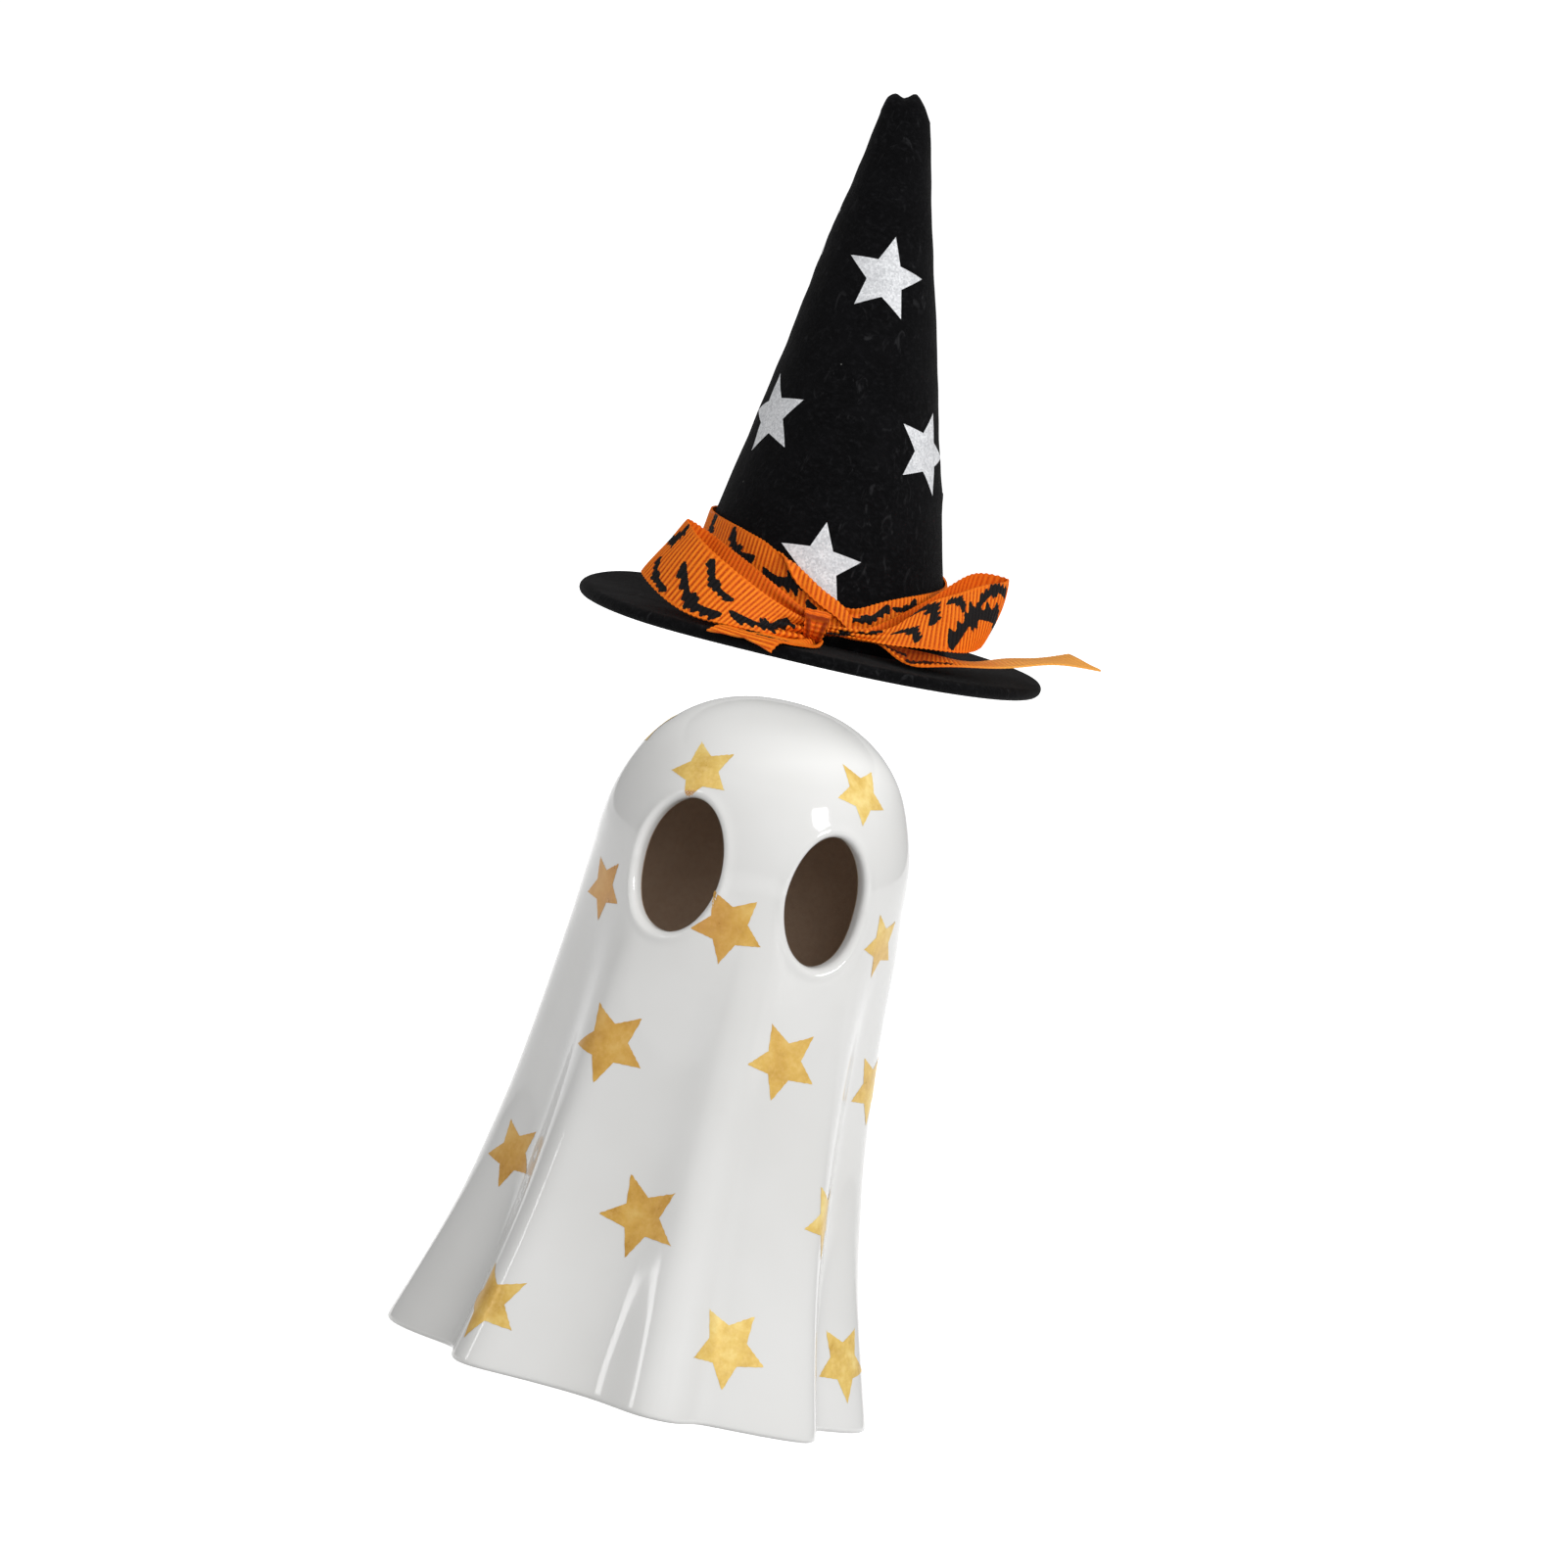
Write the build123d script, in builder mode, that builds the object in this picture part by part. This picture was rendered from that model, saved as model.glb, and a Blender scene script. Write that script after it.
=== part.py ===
from build123d import *
import math
import os

# Hollow ceramic bed-sheet ghost with a felt witch hat that lifts off its head.
# Millimetres. Origin: centre of the hem on the table. +Z up, the face looks along -Y.

# ---------------------------------------------------------------- driving dimensions
ghost_height = 150.0          # table to the top of the head
wall = 4.0                    # cast wall
dome_radius = 33.9            # half width of the head where the dome springs
dome_height = 38.0            # rise of the dome above its spring line
dome_power = 2.27             # flatter on top than an ellipse

eye_width = 18.2              # clear opening, across
eye_height = 28.6             # clear opening, up and down
eye_level = 113.0             # centre of the eye holes above the table
eye_azimuths = (-29.6, 30.8)  # from the middle of the face, degrees

brim_radius = 50.8
brim_thick = 2.8
brim_hole = 27.3              # hole for the head, in line with the inside of the crown
brim_bottom = 163.4           # underside of the brim with the hat lifted as photographed

hat_x = 0.7                   # the hat stands this far to the viewer's right of the ghost's middle

crown_foot = 29.4             # outer radius of the crown on the brim
crown_taper = 0.2155          # radius lost for each millimetre of rise
crown_height = 117.4
crown_lean = -0.0650          # sideways shift of the axis for each millimetre of rise
crown_wall = 2.0

ribbon_width = 16.0
ribbon_thick = 0.7

brim_top = brim_bottom + brim_thick
dome_spring = ghost_height - dome_height

# ---------------------------------------------------------------- drapery
# Height above the table -> radius over the fold crests, and crest-to-valley depth.
crest_table = [(0.0, 53.0), (3.0, 52.3), (8.0, 51.0), (13.0, 49.6), (24.0, 46.3), (34.0, 43.7), (45.0, 41.5),
               (55.0, 39.7), (66.0, 38.2), (76.0, 37.1), (87.0, 36.1), (97.0, 35.2), (104.0, 34.6), (109.0, 34.15),
               (112.0, 33.9)]
depth_table = [(0.0, 9.2), (10.0, 8.5), (20.0, 7.5), (30.0, 6.5), (45.0, 5.2), (60.0, 4.1), (75.0, 3.0), (88.0, 2.0),
               (98.0, 1.1), (105.0, 0.4), (109.0, 0.1), (112.0, 0.0)]
# The hem's outline. Degrees from the middle of the face, viewer's right positive -> 1 on a crest, 0 in the deepest valley.
fold_table = [(-178.0, 1.0), (-167.0, 0.60), (-156.0, 0.06), (-145.0, 0.55), (-134.0, 1.0), (-123.0, 0.58), (-112.0, 0.06),
              (-100.0, 0.60), (-89.0, 0.98), (-80.0, 0.82), (-72.0, 0.42), (-61.0, 0.02), (-52.0, 0.46), (-43.0, 1.0),
              (-34.0, 0.64), (-25.0, 0.28), (-17.0, 0.17), (-8.0, 0.38), (0.0, 0.82), (7.0, 1.0), (13.0, 0.84),
              (19.0, 0.46), (24.0, 0.43), (29.0, 0.52), (36.0, 0.72), (43.0, 0.93), (49.0, 1.0), (57.0, 0.58),
              (67.0, 0.08), (77.0, 0.46), (84.0, 0.82), (92.0, 0.93), (103.0, 0.58), (114.0, 0.06), (126.0, 0.60),
              (137.0, 1.0), (148.0, 0.58), (159.0, 0.06), (171.0, 0.68), (182.0, 1.0)]


def between(table, z):
    """Smooth value from a table of (height, value)."""
    n = len(table)
    if z <= table[0][0]:
        return table[0][1]
    if z >= table[-1][0]:
        return table[-1][1]
    for i in range(n - 1):
        if table[i][0] <= z <= table[i + 1][0]:
            break

    def slope(k):
        a, b = max(k - 1, 0), min(k + 1, n - 1)
        return (table[b][1] - table[a][1]) / (table[b][0] - table[a][0])

    h = table[i + 1][0] - table[i][0]
    t = (z - table[i][0]) / h
    p0, p1 = table[i][1], table[i + 1][1]
    m0, m1 = slope(i) * h, slope(i + 1) * h
    return ((2 * t**3 - 3 * t**2 + 1) * p0 + (t**3 - 2 * t**2 + t) * m0
            + (-2 * t**3 + 3 * t**2) * p1 + (t**3 - t**2) * m1)


def fold(azimuth):
    """1 on a fold's crest, 0 in the deepest valley."""
    return between(fold_table, (azimuth + 178.0) % 360.0 - 178.0)


def drape_radius(azimuth, z):
    return between(crest_table, z) - between(depth_table, z) * (1.0 - fold(azimuth))


def drape_ring(z, inset):
    """Points around the drapery at height z, starting at +X and going anticlockwise from above."""
    points = []
    for k in range(72):
        turn = 5.0 * k                       # from +X towards +Y
        azimuth = 90.0 + turn                # from -Y towards +X
        r = drape_radius(azimuth, max(z, 0.0)) - inset
        points.append((r * math.cos(math.radians(turn)), r * math.sin(math.radians(turn))))
    return points


def dome_point(k, n, inset):
    """Point k of n on the dome's profile, from the spring line to the top."""
    a, b = dome_radius - inset, dome_height - inset
    t = 0.5 * math.pi * k / n
    x = a * math.cos(t) ** (2.0 / dome_power) if k < n else 0.0
    z = b * math.sin(t) ** (2.0 / dome_power) if k > 0 else 0.0
    return (x, dome_spring + z)


levels = [0.0, 8.0, 18.0, 30.0, 44.0, 60.0, 76.0, 90.0, 101.0, 108.0]

# ---------------------------------------------------------------- ghost
with BuildPart() as cavity:
    for z in [-1.0] + levels[1:]:
        with BuildSketch(Plane.XY.offset(z)):
            with BuildLine():
                Spline(*drape_ring(z, wall), periodic=True)
            make_face()
    with BuildSketch(Plane.XY.offset(dome_spring)):
        Circle(dome_radius - wall)
    loft()
    with BuildSketch(Plane.XZ):
        with BuildLine():
            Spline(*[dome_point(k, 14, wall) for k in range(15)], tangents=[(0, 1), (-1, 0)])
            Line((0, ghost_height - wall), (0, dome_spring))
            Line((0, dome_spring), (dome_radius - wall, dome_spring))
        make_face()
    revolve(axis=Axis.Z)

with BuildPart() as ghost_shell:
    for z in levels:
        with BuildSketch(Plane.XY.offset(z)):
            with BuildLine():
                Spline(*drape_ring(z, 0.0), periodic=True)
            make_face()
    with BuildSketch(Plane.XY.offset(dome_spring)):
        Circle(dome_radius)
    loft()
    with BuildSketch(Plane.XZ):
        with BuildLine():
            Spline(*[dome_point(k, 14, 0.0) for k in range(15)], tangents=[(0, 1), (-1, 0)])
            Line((0, ghost_height), (0, dome_spring))
            Line((0, dome_spring), (dome_radius, dome_spring))
        make_face()
    revolve(axis=Axis.Z)
    add(cavity.part, mode=Mode.SUBTRACT)
    # eye holes, straight through the front wall
    for azimuth in eye_azimuths:
        a = math.radians(azimuth)
        outward = (math.sin(a), -math.cos(a), 0)
        across = (math.cos(a), math.sin(a), 0)
        with BuildSketch(Plane(origin=(20 * outward[0], 20 * outward[1], eye_level), x_dir=across, z_dir=outward)):
            Ellipse(eye_width / 2, eye_height / 2)
        extrude(amount=30, mode=Mode.SUBTRACT)

# ---------------------------------------------------------------- hat
with BuildPart() as hat_brim:
    with BuildSketch(Plane.XY.offset(brim_bottom)):
        with Locations((hat_x, 0)):
            Circle(brim_radius)
            Circle(brim_hole, mode=Mode.SUBTRACT)
    extrude(amount=brim_thick)
    fillet(hat_brim.edges().filter_by(GeomType.CIRCLE).sort_by(SortBy.RADIUS)[-2:], brim_thick * 0.45)

with BuildPart() as hat_crown:
    with BuildSketch(Plane.XY.offset(brim_top)):
        with Locations((hat_x, 0)):
            Circle(crown_foot)
    with BuildSketch(Plane.XY.offset(brim_top + crown_height)):
        with Locations((hat_x + crown_lean * crown_height, 0)):
            Circle(crown_foot - crown_taper * crown_height)
    loft(ruled=True)
    fillet(hat_crown.edges().group_by(Axis.Z)[-1], 3.6)
    inner_rise = crown_height - 6.0
    with BuildSketch(Plane.XY.offset(brim_top)):
        with Locations((hat_x, 0)):
            Circle(crown_foot - crown_wall)
    with BuildSketch(Plane.XY.offset(brim_top + inner_rise)):
        with Locations((hat_x + crown_lean * inner_rise, 0)):
            Circle(crown_foot - crown_wall - crown_taper * inner_rise)
    loft(ruled=True, mode=Mode.SUBTRACT)


# ---------------------------------------------------------------- ribbon
# Each stretch is a list of stations: the two edge points of the ribbon there, (x, y, height above the brim),
# with x from the hat's own middle.
def stations(edges):
    """Planes across a stretch of ribbon, with the ribbon's width there."""
    lows = [Vector(a[0] + hat_x, a[1], a[2] + brim_top) for a, b in edges]
    highs = [Vector(b[0] + hat_x, b[1], b[2] + brim_top) for a, b in edges]
    middles = [(p + q) * 0.5 for p, q in zip(lows, highs)]
    found = []
    for i in range(len(edges)):
        ahead = middles[min(i + 1, len(edges) - 1)] - middles[max(i - 1, 0)]
        across = highs[i] - lows[i]
        w = across.length
        across = across.normalized()
        along = (ahead - across * ahead.dot(across)).normalized()
        found.append((Plane(origin=middles[i], x_dir=across, z_dir=along), w))
    return found


def band_edges():
    """The band around the crown: high at the back, drawn down and gathered to the knot in front."""
    top_table = [(-180.0, 20.8), (-135.0, 20.8), (-90.0, 20.4), (-60.0, 19.6), (-30.0, 17.6), (-12.0, 14.4), (-3.0, 11.9),
                 (4.0, 9.8), (11.0, 8.6), (24.0, 10.5), (45.0, 13.6), (90.0, 16.6), (135.0, 19.4), (180.0, 20.8)]
    low_table = [(-180.0, 5.0), (-135.0, 5.0), (-90.0, 4.4), (-60.0, 3.4), (-30.0, 2.2), (-12.0, 1.6), (-3.0, 1.5),
                 (4.0, 1.4), (11.0, 1.2), (24.0, 0.8), (45.0, 0.8), (90.0, 0.9), (135.0, 3.6), (180.0, 5.0)]
    edges = []
    for azimuth in [5.5, 11.0, 17.0] + [24.0 + 8.5 * k for k in range(40)] + [357.5]:
        a = azimuth if azimuth <= 180.0 else azimuth - 360.0
        pair = []
        for h in (between(low_table, a), between(top_table, a)):
            r = crown_foot - crown_taper * h + 0.65
            pair.append((crown_lean * h + r * math.sin(math.radians(a)), -r * math.cos(math.radians(a)), h))
        edges.append(tuple(pair))
    return edges


loop_left_edges = [
    ((-2.4, -37.2, 1.0), (-2.4, -36.6, 4.8)), ((-10.0, -42.4, 0.95), (-10.2, -38.0, 7.2)),
    ((-19.0, -44.6, 0.95), (-20.6, -37.4, 11.8)), ((-27.0, -42.0, 0.95), (-28.2, -34.0, 15.8)),
    ((-34.2, -35.0, 2.7), (-31.2, -29.0, 17.9)), ((-38.4, -28.4, 5.2), (-32.0, -24.8, 18.5)),
    ((-38.6, -24.2, 5.8), (-31.5, -21.8, 18.5)), ((-34.5, -21.5, 4.6), (-28.3, -20.5, 17.4)),
    ((-27.0, -25.0, 2.6), (-23.5, -23.6, 15.6)), ((-19.0, -30.6, 1.6), (-17.4, -27.6, 13.6)),
    ((-9.5, -34.4, 1.4), (-9.0, -32.0, 10.0)), ((-2.4, -34.8, 1.3), (-2.4, -33.8, 7.0)),
]
loop_right_edges = [
    ((2.0, -37.0, 3.8), (2.0, -36.6, 5.2)), ((9.0, -37.2, 3.9), (9.0, -36.4, 6.0)), ((16.0, -36.6, 4.4), (15.5, -35.4, 8.2)),
    ((22.0, -33.6, 4.8), (20.8, -33.0, 13.4)), ((29.0, -28.8, 4.9), (26.8, -28.6, 17.0)),
    ((33.6, -22.0, 5.6), (32.6, -22.0, 19.8)), ((35.3, -15.8, 6.8), (37.2, -15.6, 21.2)),
    ((34.6, -12.0, 7.0), (36.8, -11.4, 21.6)), ((31.4, -12.6, 6.2), (32.4, -11.4, 21.5)),
    ((28.0, -14.8, 5.4), (28.6, -13.8, 20.0)), ((25.0, -18.6, 4.8), (24.6, -17.2, 16.4)), ((15.0, -29.4, 4.1), (14.6, -28.0, 9.2)),
    ((9.0, -33.4, 3.9), (9.0, -32.6, 7.0)), ((2.0, -34.8, 3.8), (2.0, -34.2, 6.2)),
]
tail_left_edges = [
    ((1.6, -37.6, 0.5), (-2.6, -34.6, 0.5)), ((0.4, -43.6, 0.37), (-12.0, -38.4, 0.37)), ((-2.6, -47.2, 0.37), (-18.0, -41.6, 0.37)),
    ((-5.6, -49.8, 0.37), (-20.8, -45.0, 0.37)), ((-7.4, -51.6, 0.1), (-22.2, -47.0, 0.2)),
    ((-8.9, -53.0, -2.2), (-22.9, -48.4, -1.3)),
]
tail_right_edges = [
    ((1.8, -37.0, 2.2), (1.8, -33.4, 2.4)), ((12.5, -37.8, 2.5), (13.5, -31.6, 2.8)), ((18.4, -40.0, 1.6), (19.2, -29.2, 2.8)),
    ((24.0, -40.8, 1.2), (23.6, -26.6, 2.8)), ((30.0, -37.0, 2.8), (28.6, -23.2, 2.8)),
    ((37.4, -31.4, 3.8), (35.0, -16.8, 3.0)), ((44.0, -27.0, 5.2), (41.0, -11.6, 4.7)),
    ((51.0, -23.6, 7.1), (47.2, -8.4, 6.0)), ((61.0, -20.4, 7.8), (54.2, -5.6, 8.4)),
]

with BuildPart() as hat_band:
    for plane, w in stations(band_edges()):
        with BuildSketch(plane):
            Rectangle(w, ribbon_thick)
    loft(ruled=True)

with BuildPart() as bow_loop_left:
    for plane, w in stations(loop_left_edges):
        with BuildSketch(plane):
            Rectangle(w, ribbon_thick)
    loft(ruled=True)

with BuildPart() as bow_loop_right:
    for plane, w in stations(loop_right_edges):
        with BuildSketch(plane):
            Rectangle(w, ribbon_thick)
    loft(ruled=True)

with BuildPart() as bow_tail_left:
    for plane, w in stations(tail_left_edges):
        with BuildSketch(plane):
            Rectangle(w, ribbon_thick)
    loft(ruled=True)

with BuildPart() as bow_tail_right:
    for plane, w in stations(tail_right_edges):
        with BuildSketch(plane):
            Rectangle(w, ribbon_thick)
    loft(ruled=True)

with BuildPart() as bow_knot:
    with BuildSketch(Plane.XY.offset(brim_top + 0.3)):
        with Locations((-0.4 + hat_x, -35.3)):
            Rectangle(6.6, 10.0)
    extrude(amount=7.0)
    fillet(bow_knot.edges(), 2.4)

# ---------------------------------------------------------------- write the pieces
os.makedirs("parts", exist_ok=True)

ghost_shell.part.label = "ghost_shell"
export_step(ghost_shell.part, "parts/ghost_shell.step")

hat_brim.part.label = "hat_brim"
export_step(hat_brim.part, "parts/hat_brim.step")

hat_crown.part.label = "hat_crown"
export_step(hat_crown.part, "parts/hat_crown.step")

hat_band.part.label = "hat_band"
export_step(hat_band.part, "parts/hat_band.step")

bow_loop_left.part.label = "bow_loop_left"
export_step(bow_loop_left.part, "parts/bow_loop_left.step")

bow_loop_right.part.label = "bow_loop_right"
export_step(bow_loop_right.part, "parts/bow_loop_right.step")

bow_tail_left.part.label = "bow_tail_left"
export_step(bow_tail_left.part, "parts/bow_tail_left.step")

bow_tail_right.part.label = "bow_tail_right"
export_step(bow_tail_right.part, "parts/bow_tail_right.step")

bow_knot.part.label = "bow_knot"
export_step(bow_knot.part, "parts/bow_knot.step")
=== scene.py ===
import bpy
import bmesh
import math
import numpy as np
from mathutils import Matrix, Vector


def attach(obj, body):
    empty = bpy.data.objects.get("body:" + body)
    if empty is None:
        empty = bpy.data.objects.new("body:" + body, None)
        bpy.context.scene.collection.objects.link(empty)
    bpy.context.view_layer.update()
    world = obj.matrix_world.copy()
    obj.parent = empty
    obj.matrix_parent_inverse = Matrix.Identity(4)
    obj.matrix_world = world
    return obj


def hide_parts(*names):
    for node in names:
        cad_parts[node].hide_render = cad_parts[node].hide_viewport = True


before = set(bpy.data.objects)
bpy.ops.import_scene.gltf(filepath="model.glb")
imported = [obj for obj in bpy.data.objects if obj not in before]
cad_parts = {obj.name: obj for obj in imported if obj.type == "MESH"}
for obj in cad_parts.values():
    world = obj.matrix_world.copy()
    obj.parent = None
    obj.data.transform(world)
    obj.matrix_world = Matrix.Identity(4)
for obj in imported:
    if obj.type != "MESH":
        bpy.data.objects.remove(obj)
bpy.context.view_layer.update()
scene = bpy.context.scene

# Hollow ceramic bed-sheet ghost with a felt witch hat lifted off its head.
# Shapes are worked out in millimetres: origin on the table under the middle of the head, face along -Y.
# Azimuth is measured from the middle of the face, viewer's right positive.

# ---------------------------------------------------------------- small tools


def cubic(table, period=None):
    """Curvature-continuous curve through a table of (x, y)."""
    x = np.array([t[0] for t in table], float)
    y = np.array([t[1] for t in table], float)
    n, h = len(x), np.diff(np.array([t[0] for t in table], float))
    if period:
        m = n - 1
        a, b = np.zeros((m, m)), np.zeros(m)
        for i in range(m):
            hm, hp = h[i - 1], h[i]
            a[i, (i - 1) % m] += hm
            a[i, i] += 2 * (hm + hp)
            a[i, (i + 1) % m] += hp
            b[i] = 6 * ((y[(i + 1) % m] - y[i]) / hp - (y[i] - y[(i - 1) % m]) / hm)
        k = np.linalg.solve(a, b)
        k = np.append(k, k[0])
    else:
        a, b = np.eye(n), np.zeros(n)
        for i in range(1, n - 1):
            a[i, i - 1], a[i, i], a[i, i + 1] = h[i - 1], 2 * (h[i - 1] + h[i]), h[i]
            b[i] = 6 * ((y[i + 1] - y[i]) / h[i] - (y[i] - y[i - 1]) / h[i - 1])
        k = np.linalg.solve(a, b)

    def value(q):
        q = np.asarray(q, float)
        q = (q - x[0]) % period + x[0] if period else np.clip(q, x[0], x[-1])
        i = np.clip(np.searchsorted(x, q, side="right") - 1, 0, n - 2)
        d = x[i + 1] - x[i]
        u, v = (x[i + 1] - q) / d, (q - x[i]) / d
        return u * y[i] + v * y[i + 1] + ((u**3 - u) * k[i] + (v**3 - v) * k[i + 1]) * d * d / 6

    return value


def unit(v):
    return v / np.maximum(np.linalg.norm(v, axis=-1, keepdims=True), 1e-12)


def ripple(seed, count, low, high, closed=False):
    """A smooth seeded wobble of two variables, about -1..1; closed makes it meet itself after a full turn of the first."""
    rng = np.random.default_rng(seed)
    k = rng.uniform(low, high, (count, 2)) * rng.choice([-1, 1], (count, 2))
    if closed:
        k[:, 0] = np.round(k[:, 0])
    ph = rng.uniform(0, 2 * np.pi, count)
    return lambda u, v: sum(np.sin(k[i, 0] * u + k[i, 1] * v + ph[i]) for i in range(count)) / math.sqrt(count)


def put(name, points, faces, materials, which=None, smooth=True, sharp=None, tidy=False):
    """A mesh piece from points in millimetres."""
    points = np.asarray(points, float)
    used = np.zeros(len(points), bool)
    for f in faces:
        used[list(f)] = True
    remap = np.cumsum(used) - 1
    me = bpy.data.meshes.new(name)
    me.from_pydata((points[used] * 0.001).tolist(), [], [[int(remap[i]) for i in f] for f in faces])
    for m in materials:
        me.materials.append(m)
    if which is not None:
        me.polygons.foreach_set("material_index", np.asarray(which, np.int32))
    me.polygons.foreach_set("use_smooth", np.full(len(me.polygons), smooth))
    if tidy:
        bm = bmesh.new()
        bm.from_mesh(me)
        bmesh.ops.recalc_face_normals(bm, faces=bm.faces)
        bm.to_mesh(me)
        bm.free()
    if sharp is not None:
        me.set_sharp_from_angle(angle=math.radians(sharp))
    me.update()
    ob = bpy.data.objects.new(name, me)
    scene.collection.objects.link(ob)
    return ob, used


def rings_to_faces(idx, closed=True):
    """Quads between rows of vertex numbers."""
    idx = np.asarray(idx)
    nxt = np.roll(idx, -1, axis=1)
    a, b, c, d = idx[:-1], nxt[:-1], nxt[1:], idx[1:]
    if not closed:
        a, b, c, d = (q[:, :-1] for q in (a, b, c, d))
    return np.stack([a, b, c, d], -1).reshape(-1, 4)


# ---------------------------------------------------------------- materials


class Look:
    """A node material around one Principled shader."""

    def __init__(self, name):
        self.mat = bpy.data.materials.new(name)
        self.mat.use_nodes = True
        self.nt = self.mat.node_tree
        self.bsdf = self.nt.nodes["Principled BSDF"]
        self.coord = self.nt.nodes.new("ShaderNodeTexCoord").outputs["Object"]

    def set(self, **values):
        for k, v in values.items():
            self.bsdf.inputs[k.replace("_", " ")].default_value = v
        return self

    def link(self, out, socket):
        self.nt.links.new(out, self.bsdf.inputs[socket])

    def place(self, scale=(1, 1, 1), rotation=(0, 0, 0)):
        n = self.nt.nodes.new("ShaderNodeMapping")
        n.inputs["Scale"].default_value = scale
        n.inputs["Rotation"].default_value = rotation
        self.nt.links.new(self.coord, n.inputs["Vector"])
        return n.outputs["Vector"]

    def noise(self, scale, detail=2.0, rough=0.5, vector=None, distortion=0.0):
        n = self.nt.nodes.new("ShaderNodeTexNoise")
        n.inputs["Scale"].default_value = scale
        n.inputs["Detail"].default_value = detail
        n.inputs["Roughness"].default_value = rough
        n.inputs["Distortion"].default_value = distortion
        self.nt.links.new(vector or self.coord, n.inputs["Vector"])
        return n.outputs["Fac"]

    def cells(self, scale, feature="F1", out="Distance", vector=None, randomness=1.0):
        n = self.nt.nodes.new("ShaderNodeTexVoronoi")
        n.feature = feature
        n.inputs["Scale"].default_value = scale
        n.inputs["Randomness"].default_value = randomness
        self.nt.links.new(vector or self.coord, n.inputs["Vector"])
        return n.outputs[out]

    def ramp(self, fac, stops, ease="LINEAR"):
        n = self.nt.nodes.new("ShaderNodeValToRGB")
        n.color_ramp.interpolation = ease
        e = n.color_ramp.elements
        while len(e) < len(stops):
            e.new(0.5)
        for s, (p, c) in zip(e, stops):
            s.position = p
            s.color = (*c, 1.0) if not isinstance(c, (int, float)) else (c, c, c, 1.0)
        self.nt.links.new(fac, n.inputs["Fac"])
        return n.outputs["Color"]

    def span(self, fac, low, high, f0=0.0, f1=1.0):
        n = self.nt.nodes.new("ShaderNodeMapRange")
        for k, v in (("From Min", f0), ("From Max", f1), ("To Min", low), ("To Max", high)):
            n.inputs[k].default_value = v
        self.nt.links.new(fac, n.inputs["Value"])
        return n.outputs["Result"]

    def math(self, op, a, b):
        n = self.nt.nodes.new("ShaderNodeMath")
        n.operation = op
        for i, q in enumerate((a, b)):
            if isinstance(q, (int, float)):
                n.inputs[i].default_value = q
            else:
                self.nt.links.new(q, n.inputs[i])
        return n.outputs[0]

    def mix(self, fac, a, b, kind="MIX"):
        n = self.nt.nodes.new("ShaderNodeMix")
        n.data_type = "RGBA"
        n.blend_type = kind
        ins = [s for s in n.inputs if s.type == "RGBA"]
        fac_in = [s for s in n.inputs if s.type == "VALUE"][0]
        if isinstance(fac, (int, float)):
            fac_in.default_value = fac
        else:
            self.nt.links.new(fac, fac_in)
        for s, q in zip(ins, (a, b)):
            if isinstance(q, tuple):
                s.default_value = (*q, 1.0)
            else:
                self.nt.links.new(q, s)
        return [s for s in n.outputs if s.type == "RGBA"][0]

    def attribute(self, name):
        n = self.nt.nodes.new("ShaderNodeAttribute")
        n.attribute_name = name
        return n.outputs["Fac"]

    def bump(self, height, distance, strength=1.0, normal=None):
        n = self.nt.nodes.new("ShaderNodeBump")
        n.inputs["Strength"].default_value = strength
        n.inputs["Distance"].default_value = distance
        self.nt.links.new(height, n.inputs["Height"])
        if normal is not None:
            self.nt.links.new(normal, n.inputs["Normal"])
        return n.outputs["Normal"]


def make_glaze():
    k = Look("white_glaze")
    broad = k.noise(28.0, 3.0, 0.55)
    k.link(k.ramp(broad, [(0.30, (0.735, 0.730, 0.712)), (0.52, (0.757, 0.754, 0.739)), (0.72, (0.775, 0.772, 0.760))]), "Base Color")
    k.link(k.span(k.noise(75.0, 4.0, 0.6), 0.045, 0.105, 0.3, 0.7), "Roughness")
    k.link(k.bump(k.noise(380.0, 2.0, 0.5), 0.000010, 0.5, k.bump(k.noise(55.0, 1.0, 0.5), 0.00022, 0.5)), "Normal")
    k.set(IOR=1.52)
    return k.mat


def make_bare_clay():
    k = Look("bare_inside")
    grain = k.noise(900.0, 4.0, 0.65)
    slip = k.noise(45.0, 4.0, 0.6)
    tone = k.ramp(slip, [(0.30, (0.440, 0.320, 0.228)), (0.70, (0.505, 0.378, 0.278))])
    k.link(k.mix(k.span(grain, 0.0, 0.35, 0.45, 0.75), tone, (0.385, 0.275, 0.195)), "Base Color")
    k.link(k.span(grain, 0.62, 0.85, 0.3, 0.7), "Roughness")
    k.link(k.bump(grain, 0.00012, 0.6), "Normal")
    k.set(Specular_IOR_Level=0.25)
    return k.mat


def make_foot():
    k = Look("bare_foot")
    grain = k.noise(1400.0, 4.0, 0.6)
    k.link(k.ramp(grain, [(0.35, (0.60, 0.56, 0.50)), (0.65, (0.74, 0.71, 0.66))]), "Base Color")
    k.link(k.span(grain, 0.6, 0.8), "Roughness")
    k.link(k.bump(grain, 0.00006, 0.5), "Normal")
    return k.mat


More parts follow.
